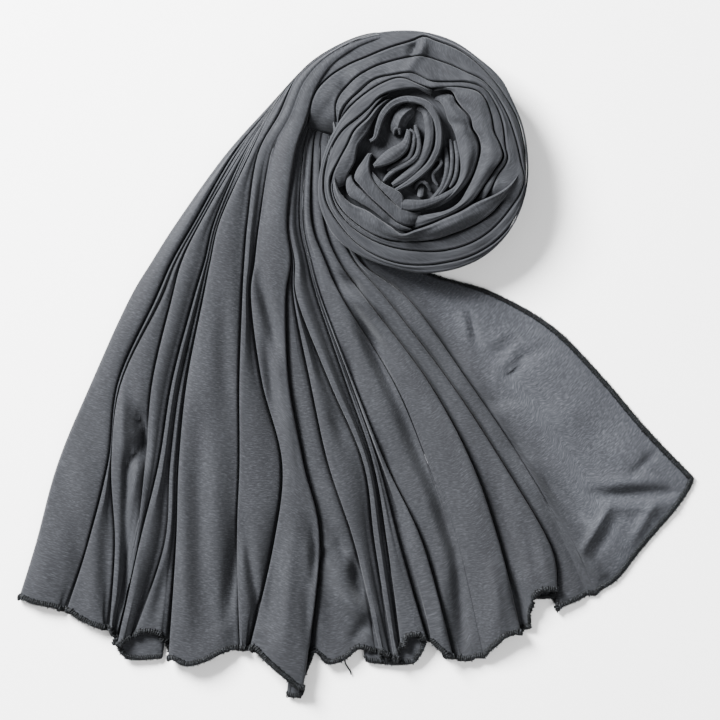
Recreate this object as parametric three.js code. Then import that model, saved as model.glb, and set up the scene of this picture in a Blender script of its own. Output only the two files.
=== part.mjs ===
// A plain grey jersey hijab headscarf, laid on a surface for display. One end is fanned out in
// pleats with a smooth corner beside them, and the rest is gathered and wound into a coil.
// Millimetres, +Z up, +X across the page, +Y up the page. The part rests on z = 0.
import * as THREE from "three";
import { mergeVertices } from "three/addons/utils/BufferGeometryUtils.js";

// Driving dimensions
const SINGLE_LAYER = 1.5;       // the cloth where it lies alone
const SEAM_GAP = 0.4;           // between stretches that lie against each other
const COIL_GAP = 0.6;           // between the coil and the cloth beside it
const STITCH_WIDTH = 3.4;       // the overlocked edge, across
const STITCH_HEIGHT = 2.4;      // the overlocked edge, up
const HEM_SPARE = 0.5;          // more room round the hem, which curves between the band's points
const HEM_STEP = 2.5;             // between two sections of the hem's band
const FOOT_STEP = 1.2;          // how steeply a fold drops beside its rim, as a width
const LEAST_PANEL = 1.1;        // narrowest strip between two rims
const FLOOR_TUCK = 0.8;         // how far a rounded edge draws in at the floor
const ROWS_A_STATION = 4;       // rows of points between two levels of the fan
const COIL_STEP = 7.5;          // degrees between two sections of the coil
const UNDER_LAYER = 2.2;        // top of the lower layers that show past the hem

// The fan of pleats. Levels are places up the page where each fold's rim is given across it.
// The last station is the hem.
const LEVELS = [138.3, 95, 67, 40, -15, -70, -125];
// Height of the heap at each level and at the hem, at its middle and at its left and right edges.
const HEAP = {
  middle: [21, 17.5, 15.5, 13.5, 11, 9, 6.5, 3],
  left: [10, 8, 7, 6, 5, 4, 3, 2.4],
  right: [19, 16, 11, 7, 4, 3, 2.6, 2.4],
};
// One row a fold. across: the rim at each level. hem: the rim's end. free: the side where the rim
// lies open over its neighbour. bulge: how far the hem to its right reaches past a straight line.
// lip: reach of the lower layer past the hem, at the rim and right of it. rise: of the rim over
// its neighbour at the gather, half way down and at the hem.
const FOLDS = [
  { free: "left", across: [-91, -122, -140, -156, -181, -204, -219], hem: [-230.5, -162],
    bulge: 0, lip: [0.8, 0.8], rise: [0, 0, 0] },
  { free: "left", across: [-84.5, -109, -125, -137, -162, -169, -183], hem: [-198, -171],
    bulge: 2, lip: [0.8, 0.8], rise: [2, 3, 1.8] },
  { free: "left", across: [-82, -107, -122.5, -133.5, -160, -167, -164.5], hem: [-168.5, -183],
    bulge: 0, lip: [0.8, 1.5], rise: [0.5, 1, 2.2] },
  { free: "left", across: [-80, -105, -118.7, -126, -139, -144, -151], hem: [-165.5, -187],
    bulge: 0, lip: [2, 2], rise: [1.5, 2.5, 0.4] },
  { free: "left", across: [-77.5, -96, -103, -111, -125.5, -134.5, -148], hem: [-162, -194],
    bulge: 1, lip: [1, 2], rise: [1.5, 3, 2.6] },
  { free: "left", across: [-75.5, -94.3, -101.3, -107.5, -120, -127, -131], hem: [-153, -190],
    bulge: -11, lip: [7, 13], rise: [0, 0.5, 2.6] },
  { free: "left", across: [-73, -92.6, -99.3, -104.7, -115.6, -121, -123], hem: [-128.5, -203],
    bulge: 5, lip: [0.8, 0.8], rise: [2, 3.5, 3] },
  { free: "left", across: [-67.5, -74, -76.5, -78, -80, -80, -82], hem: [-80, -196.5],
    bulge: 0, lip: [0.8, 0.8], rise: [2, 2.5, 1] },
  { free: "left", across: [-58.5, -66, -69.4, -72, -64.6, -51, -57], hem: [-73.5, -196],
    bulge: 3, lip: [0.8, 0.8], rise: [2.5, 3.5, 3] },
  { free: "right", across: [-42.5, -47, -47.5, -49, -47, -37, -26], hem: [-41.5, -221],
    bulge: 4, lip: [2, 7], rise: [4, 2.5, 3.5] },
  { free: "left", across: [-40, -43.5, -44.5, -43, -32, -20, -2], hem: [15, -198.5],
    bulge: 0, lip: [11, 8], rise: [1, 2.5, 2] },
  { free: "left", across: [-38, -40, -42, -39.5, -19, 4, 11.6], hem: [24.5, -204],
    bulge: 0, lip: [5, 8], rise: [1, 3, 2.4] },
  { free: "left", across: [-36.4, -37.4, -33.3, -26.5, -8, 10.5, 20], hem: [29.2, -194.5],
    bulge: -4.5, lip: [13, 14], rise: [1, 3, 3] },
  { free: "left", across: [-35, -35.4, -31, -23, -5.5, 13.6, 28], hem: [46.2, -189.7],
    bulge: 0, lip: [3, 1], rise: [0.4, 0.6, 2.6] },
  { free: "right", across: [-33.6, -33.3, -29.5, -19, -3.3, 18.5, 44], hem: [64.6, -202],
    bulge: 2, lip: [0.8, 0.8], rise: [0.4, 0.8, 3] },
  { free: "right", across: [-32.3, -31, -24.5, -11.6, 24, 47, 64.6], hem: [81.6, -202],
    bulge: 0, lip: [0.8, 0.8], rise: [0.8, 1.5, 1] },
  { free: "right", across: [-31, -28.6, -17, 4, 47.6, 77, 96], hem: [110.8, -185.6],
    bulge: -9, lip: [0.8, 11], rise: [1, 3.5, 3] },
  { free: "right", across: [-29.5, -25, -9, 11, 62, 98, 130], hem: [135.3, -156.4],
    bulge: 4, lip: [11, 6], rise: [1, 3, 2.6] },
  { free: "right", across: [-28.2, -21.2, 0, 31, 75, 112, 147], hem: [157.8, -159.8],
    bulge: 0, lip: [0.8, 0.8], rise: [1.5, 3, 1.5] },
];
const CURL_HEM = { fold: 9, foot: [12.5, 24], lip: 17 };  // beside this fold the hem steps back

// The coil. Its border is a spiral that winds inwards, clockwise from the left, three times round.
const COIL_CENTRE = new THREE.Vector2(43.5, 138.7);
// One row a reading: turned degrees, border radius, height of the roll inside that border.
const SPIRAL = [
  { turned: 0, radius: 134, height: 21 },
  { turned: 14, radius: 113, height: 23 },
  { turned: 28, radius: 102.5, height: 26 },
  { turned: 43, radius: 96, height: 28 },
  { turned: 62, radius: 89, height: 30 },
  { turned: 90, radius: 83, height: 31 },
  { turned: 121, radius: 75.5, height: 31 },
  { turned: 156, radius: 70.7, height: 31 },
  { turned: 184, radius: 71.4, height: 31 },
  { turned: 220, radius: 77, height: 31 },
  { turned: 252, radius: 81, height: 31 },
  { turned: 291, radius: 79, height: 32 },
  { turned: 330, radius: 76, height: 34 },
  { turned: 360, radius: 70.5, height: 36 },
  { turned: 395, radius: 70, height: 37 },
  { turned: 415, radius: 67, height: 38 },
  { turned: 450, radius: 65, height: 38 },
  { turned: 478, radius: 63, height: 38 },
  { turned: 520, radius: 56.5, height: 38 },
  { turned: 545, radius: 56, height: 38 },
  { turned: 585, radius: 57, height: 37 },
  { turned: 630, radius: 60, height: 37 },
  { turned: 675, radius: 58, height: 38 },
  { turned: 720, radius: 51, height: 39 },
  { turned: 765, radius: 49, height: 39 },
  { turned: 810, radius: 42, height: 39 },
  { turned: 855, radius: 38, height: 39 },
  { turned: 900, radius: 37, height: 39 },
  { turned: 945, radius: 41, height: 38 },
  { turned: 990, radius: 42.5, height: 38 },
  { turned: 1035, radius: 42, height: 38 },
  { turned: 1080, radius: 36, height: 37 },
  { turned: 1125, radius: 31, height: 36 },
  { turned: 1170, radius: 35, height: 36 },
  { turned: 1215, radius: 24, height: 35 },
  { turned: 1260, radius: 20, height: 35 },
  { turned: 1305, radius: 27, height: 35 },
  { turned: 1350, radius: 31, height: 35 },
  { turned: 1395, radius: 31, height: 35 },
  { turned: 1440, radius: 30, height: 35 },
];
// A turn's section from its outer foot over three folds to its inner foot. One row a point:
// share of the width and share of the height.
const TURN_SECTION = [
  { across: 0.03, up: 0 },
  { across: 0, up: 0.35 },
  { across: 0.05, up: 0.72 },
  { across: 0.2, up: 0.92 },
  { across: 0.32, up: 0.84 },
  { across: 0.4, up: 0.97 },
  { across: 0.58, up: 1 },
  { across: 0.66, up: 0.88 },
  { across: 0.74, up: 0.99 },
  { across: 0.92, up: 0.94 },
  { across: 1, up: 0.7 },
  { across: 1, up: 0 },
];

// The core of the coil: a small hank folded in an S, with two pockets beside its middle.
const CORE = { height: 34, pocket: 9, twist: 1.6, rings: [1, 0.94, 0.78, 0.55, 0.3], steps: 32 };

// The smooth corner beside the fan: its free side edge and its hem, as the finished outline.
const SIDE_EDGE = [
  [57, 58.3], [84, 51], [110, 40], [137, 22], [164, -5], [192, -38], [218, -68], [231, -80],
];
const CORNER_HEM = [
  [231, -84], [218, -103], [205, -118], [192, -134], [178, -152], [166, -157.5],
];
// Soft creases on the corner. rise: height or depth of the crease, spread: its half width.
const CREASES = [
  { from: [118, -76], to: [160, -138], rise: 3, spread: 6 },
  { from: [88, -50], to: [140, -100], rise: 1.2, spread: 4 },
  { from: [107, -12], to: [135, 15], rise: 1.1, spread: 5 },
  { from: [83, 3], to: [101, 15], rise: 0.9, spread: 4 },
  { from: [158, -90], to: [215, -92], rise: -0.7, spread: 4 },
  { from: [152, -124], to: [171, -101], rise: 1, spread: 5 },
];
const CORNER_SWELL = 2.2;       // the corner stands this much higher beside the fan
const CORNER_FROM = 1.8;        // station of the fan where the corner begins
const CORNER_TOP = { from: 302, to: 261.5 };  // turned degrees of the coil's border above the corner
const LAST_RIM_GAP = 0.55;      // between the fan's last rim and the corner
const CORNER_ROWS = 22;
const CORNER_COLUMNS = 14;

const cloth = () => new THREE.MeshStandardMaterial({ color: 0x4b4e52, roughness: 0.88, metalness: 0 });
const thread = () => new THREE.MeshStandardMaterial({ color: 0x232426, roughness: 0.8, metalness: 0 });

// Value at place t of a list of evenly spaced stations, along a Catmull-Rom curve.
function along(values, t) {
  const last = values.length - 1;
  const i = Math.min(Math.floor(t), last - 1);
  const f = t - i;
  const before = values[Math.max(i - 1, 0)];
  const after = values[Math.min(i + 2, last)];
  const [a, b] = [values[i], values[i + 1]];
  const slopeA = (b - before) / 2;
  const slopeB = (after - a) / 2;
  return a + f * (slopeA + f * (3 * (b - a) - 2 * slopeA - slopeB + f * (slopeA + slopeB - 2 * (b - a))));
}

// Value of one column of a table at a place between its rows, with a smooth run through each row.
function fromTable(table, key, column, place) {
  let i = 0;
  while (i < table.length - 2 && table[i + 1][key] < place) {
    i += 1;
  }
  const [a, b] = [table[i], table[i + 1]];
  const before = table[Math.max(i - 1, 0)];
  const after = table[Math.min(i + 2, table.length - 1)];
  const run = b[key] - a[key];
  const f = THREE.MathUtils.clamp((place - a[key]) / run, 0, 1);
  const slopeA = (b[column] - before[column]) / (b[key] - before[key] || run) * run;
  const slopeB = (after[column] - a[column]) / (after[key] - a[key] || run) * run;
  const rise = b[column] - a[column];
  return a[column] + f * (slopeA + f * (3 * rise - 2 * slopeA - slopeB + f * (slopeA + slopeB - 2 * rise)));
}

// A closed mesh from loose triangles: shared corners are merged and empty triangles dropped.
function solidFrom(triangles, name, material) {
  const loose = new THREE.BufferGeometry();
  loose.setAttribute("position", new THREE.Float32BufferAttribute(triangles.flat(2), 3));
  const merged = mergeVertices(loose, 2e-3);
  const index = merged.getIndex().array;
  const kept = [];
  for (let i = 0; i < index.length; i += 3) {
    const [a, b, c] = [index[i], index[i + 1], index[i + 2]];
    if (a !== b && b !== c && a !== c) {
      kept.push(a, b, c);
    }
  }
  merged.setIndex(kept);
  merged.computeVertexNormals();
  const mesh = new THREE.Mesh(merged, material);
  mesh.name = name;
  return mesh;
}

const samePlace = (a, b) => Math.hypot(a[0] - b[0], a[1] - b[1], a[2] - b[2]) < 2e-3;

// Triangles of a grid of points that runs down in rows and right in columns, seen from above.
function gridTriangles(grid) {
  const triangles = [];
  for (let r = 0; r < grid.length - 1; r += 1) {
    for (let c = 0; c < grid[r].length - 1; c += 1) {
      const [a, b, d, e] = [grid[r][c], grid[r][c + 1], grid[r + 1][c], grid[r + 1][c + 1]];
      triangles.push([a, d, e], [a, e, b]);
    }
  }
  return triangles;
}

// A heap with a shaped top and a flat underside. The grid's outer rows and columns lie on the
// floor, and the floor inside that outline is filled flat.
function heapFrom(grid, name, material) {
  const last = grid.length - 1;
  const outline = [
    ...grid.map((row) => row[0]),
    ...grid[last],
    ...grid.map((row) => row[row.length - 1]).reverse(),
    ...[...grid[0]].reverse(),
  ].filter((point, i, all) => !samePlace(point, all[(i + 1) % all.length]));
  const flat = outline.map((point) => new THREE.Vector2(point[0], point[1]));
  const faces = THREE.ShapeUtils.triangulateShape(flat, []);
  const triangles = gridTriangles(grid);
  for (const [a, b, c] of faces) {
    const turn = (flat[b].x - flat[a].x) * (flat[c].y - flat[a].y)
      - (flat[b].y - flat[a].y) * (flat[c].x - flat[a].x);
    triangles.push(turn > 0 ? [outline[a], outline[c], outline[b]] : [outline[a], outline[b], outline[c]]);
  }
  return solidFrom(triangles, name, material);
}

// The coil's border at some turned degrees, moved out by a distance.
function coilPoint(turned, outwards, height) {
  const radius = fromTable(SPIRAL, "turned", "radius", turned) + outwards;
  const angle = THREE.MathUtils.degToRad(turned);
  return [
    COIL_CENTRE.x - radius * Math.cos(angle),
    COIL_CENTRE.y + radius * Math.sin(angle),
    height,
  ];
}

// How far right the fan may reach at a height up the page: the coil's lower left border, less a gap.
const coilBorder = Array.from({ length: 90 / COIL_STEP + 1 }, (_, i) => coilPoint(360 - i * COIL_STEP, COIL_GAP, 0));
function leftOfCoil(y) {
  for (let i = 0; i < coilBorder.length - 1; i += 1) {
    const [above, below] = [coilBorder[i], coilBorder[i + 1]];
    if (y <= above[1] && y > below[1]) {
      return THREE.MathUtils.mapLinear(y, above[1], below[1], above[0], below[0]);
    }
  }
  return y > coilBorder[0][1] ? coilBorder[0][0] : Infinity;
}

// Where every rim lies at a station t down the fan, kept in order and a little apart.
function rimsAt(t) {
  const reach = SEAM_GAP + STITCH_WIDTH;
  const rims = FOLDS.map((fold) => ({
    x: along([...fold.across, fold.hem[0]], t),
    y: along([...LEVELS, fold.hem[1] + reach], t),
  }));
  const lastRim = rims[rims.length - 1];
  lastRim.x = Math.min(lastRim.x, leftOfCoil(lastRim.y) - COIL_GAP * 0.5);
  for (let i = rims.length - 2; i >= 0; i -= 1) {
    rims[i].x = Math.min(rims[i].x, rims[i + 1].x - LEAST_PANEL);
  }
  return rims;
}

// Height of the heap itself, a low dome across the fan between its two edges.
function heapHeight(share, t) {
  const edge = THREE.MathUtils.lerp(along(HEAP.left, t), along(HEAP.right, t), share);
  const dome = Math.sqrt(Math.max(Math.sin(Math.PI * share), 0));
  return edge + (along(HEAP.middle, t) - edge) * dome;
}

const riseAt = (fold, t) => along(fold.rise, (t / LEVELS.length) * 2);

// One row of the fan: four points a strip, from the left edge's fold to the last rim.
function fanRow(t) {
  const rims = rimsAt(t);
  const hemShare = THREE.MathUtils.smoothstep(t, LEVELS.length - 1, LEVELS.length);
  const width = rims[rims.length - 1].x - rims[0].x;
  const row = [];
  for (let i = 0; i < FOLDS.length - 1; i += 1) {
    const [here, next] = [FOLDS[i], FOLDS[i + 1]];
    const strip = rims[i + 1].x - rims[i].x;
    const step = Math.min(FOOT_STEP, strip * 0.25);
    const openLeft = here.free === "left";
    const openRight = next.free === "right";
    const start = { x: rims[i].x + (openLeft ? 0 : step), y: rims[i].y };
    const end = { x: rims[i + 1].x - (openRight ? 0 : step), y: rims[i + 1].y };
    if (i === CURL_HEM.fold) {
      start.x += CURL_HEM.foot[0] * hemShare;
      start.y += CURL_HEM.foot[1] * hemShare;
    }
    const places = openLeft === openRight ? [0, 0.2, 0.8, 1] : openLeft ? [0, 0.2, 0.6, 1] : [0, 0.4, 0.8, 1];
    for (const place of places) {
      const x = THREE.MathUtils.lerp(start.x, end.x, place);
      const straight = THREE.MathUtils.lerp(start.y, end.y, place);
      const y = straight - here.bulge * Math.sin(Math.PI * place) * hemShare;
      const fromLeft = openLeft ? riseAt(here, t) * rimShape(place) : 0;
      const fromRight = openRight ? riseAt(next, t) * rimShape(1 - place) : 0;
      const z = heapHeight((x - rims[0].x) / width, t) + fromLeft + fromRight;
      const curl = i === CURL_HEM.fold && place === 0 ? CURL_HEM.lip : null;
      const lip = curl ?? THREE.MathUtils.lerp(here.lip[place < 0.5 ? 0 : 1], next.lip[0], place ** 3);
      row.push({ point: [x, y, z], lip });
    }
  }
  return row;
}

// Height of a strip beside its open rim: rounded at the rim, then falling away across the strip.
function rimShape(place) {
  const rounded = 0.72 + 0.28 * Math.sin(Math.PI * Math.min(place / 0.4, 1));
  return rounded * Math.cos(Math.PI * 0.5 * place) ** 1.2;
}

// The stations of the fan's rows, from the gather to the hem.
const fanStations = Array.from(
  { length: LEVELS.length * ROWS_A_STATION + 1 },
  (_, i) => i / ROWS_A_STATION,
);
const fanRows = fanStations.map(fanRow);

const onFloor = ([x, y], inwards = 0) => [x + inwards, y, 0];

// The lower layers past the hem: top of the step, its outer edge and its foot on the floor.
const hemRow = fanRows[fanRows.length - 1];
const stepRow = hemRow.map(({ point }) => [point[0], point[1] - 0.5, Math.min(UNDER_LAYER, point[2] * 0.8)]);
const lipRow = hemRow.map(({ point, lip }) => [point[0], point[1] - 0.5 - lip, UNDER_LAYER * 0.7]);
const lipFoot = lipRow.map((point) => onFloor(point));

function fannedEnd() {
  const grid = [];
  const gather = fanRows[0].map(({ point }) => point);
  const tucked = gather[0][0] + FLOOR_TUCK;
  const gatherFoot = gather.map(([x, y]) => [Math.max(x, tucked), y, 0]);
  grid.push([gatherFoot[0], ...gatherFoot, gatherFoot[gatherFoot.length - 1]]);
  for (const row of fanRows) {
    const top = row.map(({ point }) => point);
    grid.push([onFloor(top[0], FLOOR_TUCK), ...top, onFloor(top[top.length - 1])]);
  }
  for (const row of [stepRow, lipRow, lipFoot]) {
    grid.push([onFloor(row[0], row === lipFoot ? 0 : FLOOR_TUCK), ...row, onFloor(row[row.length - 1])]);
  }
  return heapFrom(grid, "fanned_end", cloth());
}

// One turn of the coil: the section carried round the spiral, closed at both ends.
function coilTurn(name, first) {
  const sections = [];
  const steps = Math.round(360 / COIL_STEP);
  for (let i = 0; i <= steps; i += 1) {
    const turned = first + i * COIL_STEP;
    const inner = fromTable(SPIRAL, "turned", "radius", turned + 360) + SEAM_GAP;
    const outer = fromTable(SPIRAL, "turned", "radius", turned);
    const height = fromTable(SPIRAL, "turned", "height", turned);
    sections.push(TURN_SECTION.map(({ across, up }) => (
      coilPoint(turned, -across * (outer - inner), up * height)
    )));
  }
  sections[0] = sections[0].map(([x, y, z]) => [x, y + SEAM_GAP * 0.5, z]);
  sections[steps] = sections[steps].map(([x, y, z]) => [x, y - SEAM_GAP * 0.5, z]);
  const flat = TURN_SECTION.map(({ across, up }) => new THREE.Vector2(across, up));
  const cap = THREE.ShapeUtils.triangulateShape(flat, []);
  const triangles = [];
  for (let i = 0; i < steps; i += 1) {
    for (let k = 0; k < TURN_SECTION.length; k += 1) {
      const next = (k + 1) % TURN_SECTION.length;
      const [a, b] = [sections[i][k], sections[i][next]];
      const [d, e] = [sections[i + 1][k], sections[i + 1][next]];
      triangles.push([a, e, d], [a, b, e]);
    }
  }
  const clockwise = THREE.ShapeUtils.isClockWise(flat);
  for (const [a, b, c] of cap) {
    const face = clockwise ? [a, b, c] : [a, c, b];
    triangles.push(face.map((k) => sections[0][k]));
    triangles.push(face.map((k) => sections[steps][k]).reverse());
  }
  return solidFrom(triangles, name, cloth());
}

// The core: rings of points inside the last turn, drawn down in two pockets that twist in an S.
// Its border steps inwards once, where the last turn ends.
function coilCore() {
  const first = 1080;
  const grid = CORE.rings.map((share) => (
    Array.from({ length: CORE.steps + 1 }, (_, i) => {
      const turned = first + i * (360 / CORE.steps);
      const radius = (fromTable(SPIRAL, "turned", "radius", turned) - SEAM_GAP) * share;
      const angle = THREE.MathUtils.degToRad(turned);
      const swirl = 0.5 + 0.5 * Math.cos(2 * (angle - CORE.twist * share));
      const pocket = CORE.pocket * swirl * Math.sin(Math.PI * share) ** 2;
      const shoulder = share === 1 ? CORE.height * 0.2 : 0;
      return [
        COIL_CENTRE.x - radius * Math.cos(angle),
        COIL_CENTRE.y + radius * Math.sin(angle) + (i === 0 ? SEAM_GAP * 0.5 : 0),
        CORE.height - pocket - shoulder,
      ];
    })
  ));
  const floor = grid[0].map((point) => onFloor(point));
  const middle = (height) => floor.map(() => [COIL_CENTRE.x, COIL_CENTRE.y, height]);
  const rings = [middle(0), floor, ...grid, middle(CORE.height)];
  const closed = rings.map((ring) => [...ring, ring[0]]);
  return solidFrom(gridTriangles(closed), "coil_core", cloth());
}

// A point of an open polyline at a share of its length.
function onPolyline(points, share) {
  const curve = new THREE.CatmullRomCurve3(points.map(([x, y]) => new THREE.Vector3(x, y, 0)), false, "centripetal");
  const { x, y } = curve.getPointAt(share);
  return [x, y];
}

// A polyline moved to its right by a distance.
function movedRight(points, distance) {
  return points.map((point, i) => {
    const before = points[Math.max(i - 1, 0)];
    const after = points[Math.min(i + 1, points.length - 1)];
    const run = [after[0] - before[0], after[1] - before[1]];
    const length = Math.hypot(...run);
    return [point[0] + (run[1] / length) * distance, point[1] - (run[0] / length) * distance];
  });
}

const shares = (count) => Array.from({ length: count + 1 }, (_, i) => i / count);
const stitchReach = SEAM_GAP + STITCH_WIDTH;
const sideOutline = shares(CORNER_ROWS).map((share) => onPolyline(SIDE_EDGE, share));
const sideCloth = movedRight(sideOutline, stitchReach);
const cornerHemOutline = shares(CORNER_COLUMNS).map((share) => onPolyline(CORNER_HEM, share));

// The corner's edge beside the fan: the last rim's foot from beside the coil down to the hem.
function besideFan(share) {
  const t = THREE.MathUtils.lerp(CORNER_FROM, LEVELS.length, share);
  const below = Math.floor(t * ROWS_A_STATION) / ROWS_A_STATION;
  const edgeAt = (station) => {
    const row = fanRow(Math.min(station, LEVELS.length));
    return row[row.length - 1].point;
  };
  const [a, b] = [edgeAt(below), edgeAt(below + 1 / ROWS_A_STATION)];
  const f = (t - below) * ROWS_A_STATION;
  return [THREE.MathUtils.lerp(a[0], b[0], f) + LAST_RIM_GAP, THREE.MathUtils.lerp(a[1], b[1], f)];
}

// Height of the corner at a place: its single layer, a swell towards the fan and its creases.
function cornerHeight(x, y, share) {
  let height = SINGLE_LAYER + CORNER_SWELL * (1 - share) ** 2;
  for (const { from, to, rise, spread } of CREASES) {
    const run = [to[0] - from[0], to[1] - from[1]];
    const length2 = run[0] ** 2 + run[1] ** 2;
    const f = THREE.MathUtils.clamp(((x - from[0]) * run[0] + (y - from[1]) * run[1]) / length2, 0, 1);
    const away = Math.hypot(x - from[0] - f * run[0], y - from[1] - f * run[1]);
    height += rise * Math.exp(-((away / spread) ** 2)) * Math.min(1, share * 6, (1 - share) * 6);
  }
  return Math.max(height, 1);
}

// The corner: a patch between its four edges, each point a blend of the edges around it.
function cornerPatch() {
  const hem = movedRight(cornerHemOutline, stitchReach).reverse();
  const corner = sideCloth[sideCloth.length - 1];
  const left = shares(CORNER_ROWS).map(besideFan);
  const foot = left[left.length - 1];
  const hemStart = hem[0];
  const hemLine = shares(CORNER_COLUMNS).map((share, i) => {
    const pull = (1 - share) ** 2;
    const push = share ** 4;
    return [
      hem[i][0] + (foot[0] - hemStart[0]) * pull + (corner[0] - hem[CORNER_COLUMNS][0]) * push,
      hem[i][1] + (foot[1] - hemStart[1]) * pull + (corner[1] - hem[CORNER_COLUMNS][1]) * push,
    ];
  });
  const [topLeft, topRight] = [left[0], sideCloth[0]];
  const topLine = shares(CORNER_COLUMNS).map((share) => {
    const turned = THREE.MathUtils.lerp(CORNER_TOP.from, CORNER_TOP.to, share);
    const [x, y] = coilPoint(turned, COIL_GAP, 0);
    const [startX, startY] = coilPoint(CORNER_TOP.from, COIL_GAP, 0);
    const [endX, endY] = coilPoint(CORNER_TOP.to, COIL_GAP, 0);
    const pull = (1 - share) ** 3;
    const push = share ** 3;
    return [
      x + (topLeft[0] - startX) * pull + (topRight[0] - endX) * push,
      y + (topLeft[1] - startY) * pull + (topRight[1] - endY) * push,
    ];
  });
  return shares(CORNER_ROWS).map((down, r) => (
    shares(CORNER_COLUMNS).map((right, c) => {
      const blend = (k) => (
        (1 - down) * topLine[c][k] + down * hemLine[c][k] + (1 - right) * left[r][k] + right * sideCloth[r][k]
        - (1 - down) * ((1 - right) * topLeft[k] + right * topRight[k])
        - down * ((1 - right) * foot[k] + right * corner[k])
      );
      const [x, y] = [blend(0), blend(1)];
      return [x, y, cornerHeight(x, y, right)];
    })
  ));
}

function cornerPanel(patch) {
  const inner = patch.map((row) => [onFloor(row[0]), ...row, onFloor(row[row.length - 1])]);
  const grid = [inner[0].map((p) => onFloor(p)), ...inner, inner[inner.length - 1].map((p) => onFloor(p))];
  return heapFrom(grid, "corner_panel", cloth());
}

// The overlocked band's section: places out from the cloth's edge and up. One row a point.
const STITCH_SECTION = [
  { out: SEAM_GAP, up: 0.15 },
  { out: SEAM_GAP, up: 0.75 },
  { out: SEAM_GAP + STITCH_WIDTH * 0.4, up: 1 },
  { out: SEAM_GAP + STITCH_WIDTH, up: 0.6 },
  { out: SEAM_GAP + STITCH_WIDTH, up: 0.15 },
  { out: SEAM_GAP + STITCH_WIDTH * 0.5, up: 0 },
];

// An overlocked edge: a low rounded band between lines that lie further and further out from the
// cloth's edge. lineAt gives such a line for a distance out.
function stitchedEdge(name, lineAt) {
  const lines = STITCH_SECTION.map(({ out, up }) => lineAt(out).map(([x, y]) => [x, y, up * STITCH_HEIGHT]));
  const triangles = [];
  const count = lines.length;
  const end = lines[0].length - 1;
  for (let i = 0; i < end; i += 1) {
    for (let k = 0; k < count; k += 1) {
      const next = (k + 1) % count;
      const [a, b] = [lines[k][i], lines[next][i]];
      const [d, e] = [lines[k][i + 1], lines[next][i + 1]];
      triangles.push([a, e, d], [a, b, e]);
    }
  }
  for (let k = 1; k < count - 1; k += 1) {
    triangles.push([lines[0][0], lines[k + 1][0], lines[k][0]]);
    triangles.push([lines[0][end], lines[k][end], lines[k + 1][end]]);
  }
  return solidFrom(triangles, name, thread());
}

// Points along a line no further apart than a step.
function splitLine(points, step) {
  return points.slice(0, -1).flatMap(([x, y], i) => {
    const [nextX, nextY] = points[i + 1];
    const count = Math.max(Math.ceil(Math.hypot(nextX - x, nextY - y) / step), 1);
    return shares(count).slice(0, -1).map((share) => [x + (nextX - x) * share, y + (nextY - y) * share]);
  });
}

// A line that keeps a distance below a hem everywhere: at each place across, the lowest point of
// circles of that radius round the hem's points.
function belowHem(hem, distance, step) {
  const dense = splitLine(hem, 0.7);
  const [start, end] = [hem[0][0] + 0.6, hem[hem.length - 1][0] - 0.6];
  return shares(Math.round((end - start) / step)).map((share) => {
    const x = THREE.MathUtils.lerp(start, end, share);
    const near = dense.filter(([hemX]) => Math.abs(hemX - x) < distance);
    return [x, Math.min(...near.map(([hemX, hemY]) => hemY - Math.sqrt(distance ** 2 - (hemX - x) ** 2)))];
  });
}

const patch = cornerPatch();
const hemEdge = [...lipFoot.map(([x, y]) => [x, y]), ...patch[patch.length - 1].map(([x, y]) => [x, y])];
const sideEdge = patch.map((row) => row[row.length - 1]).map(([x, y]) => [x, y]).reverse();

const headscarf = new THREE.Group();
headscarf.name = "headscarf";
headscarf.add(fannedEnd());
headscarf.add(cornerPanel(patch));
headscarf.add(coilTurn("coil_outer_turn", 0));
headscarf.add(coilTurn("coil_second_turn", 360));
headscarf.add(coilTurn("coil_third_turn", 720));
headscarf.add(coilCore());
headscarf.add(stitchedEdge("bottom_edge_stitching", (out) => belowHem(hemEdge, out + HEM_SPARE, HEM_STEP)));
headscarf.add(stitchedEdge("side_edge_stitching", (out) => movedRight(sideEdge, out)));
export default headscarf;
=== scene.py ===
"""A plain slate grey jersey headscarf laid on a pale surface: one end fanned out in pleats, the
rest gathered and wound into a coil. Metres, +Z up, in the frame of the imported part."""

import bpy
import numpy as np
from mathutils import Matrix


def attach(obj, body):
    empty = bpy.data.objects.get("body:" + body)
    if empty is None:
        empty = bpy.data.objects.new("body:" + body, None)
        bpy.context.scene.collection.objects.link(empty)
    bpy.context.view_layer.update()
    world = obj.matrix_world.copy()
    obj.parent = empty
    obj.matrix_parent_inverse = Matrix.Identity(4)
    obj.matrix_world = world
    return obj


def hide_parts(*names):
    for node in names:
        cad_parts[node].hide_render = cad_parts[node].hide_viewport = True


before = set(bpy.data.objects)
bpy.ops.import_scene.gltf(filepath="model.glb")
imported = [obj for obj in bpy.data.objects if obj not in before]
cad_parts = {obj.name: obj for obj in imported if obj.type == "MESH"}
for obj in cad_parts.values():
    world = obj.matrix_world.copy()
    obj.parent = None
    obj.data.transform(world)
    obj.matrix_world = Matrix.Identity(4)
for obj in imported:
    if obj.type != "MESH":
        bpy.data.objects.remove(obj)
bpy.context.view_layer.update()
MM = 0.001

# The view. The scarf lies on a pale surface and is seen from straight above, so the camera stands
# over its middle with a long lens, and soft light comes from above and a little from the upper left.
VIEW_WIDTH = 0.4896          # what the frame takes in at the surface
VIEW_MIDDLE = 0.00136        # its middle, along x
CAMERA_HEIGHT = 2.4
SENSOR = 36.0
camera_data = bpy.data.cameras.new("camera")
camera_data.sensor_width = SENSOR
camera_data.lens = SENSOR * CAMERA_HEIGHT / VIEW_WIDTH
camera_data.clip_end = 20.0
camera = bpy.data.objects.new("camera", camera_data)
camera.location = (VIEW_MIDDLE, 0.0, CAMERA_HEIGHT)
bpy.context.collection.objects.link(camera)
bpy.context.scene.camera = camera


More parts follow.
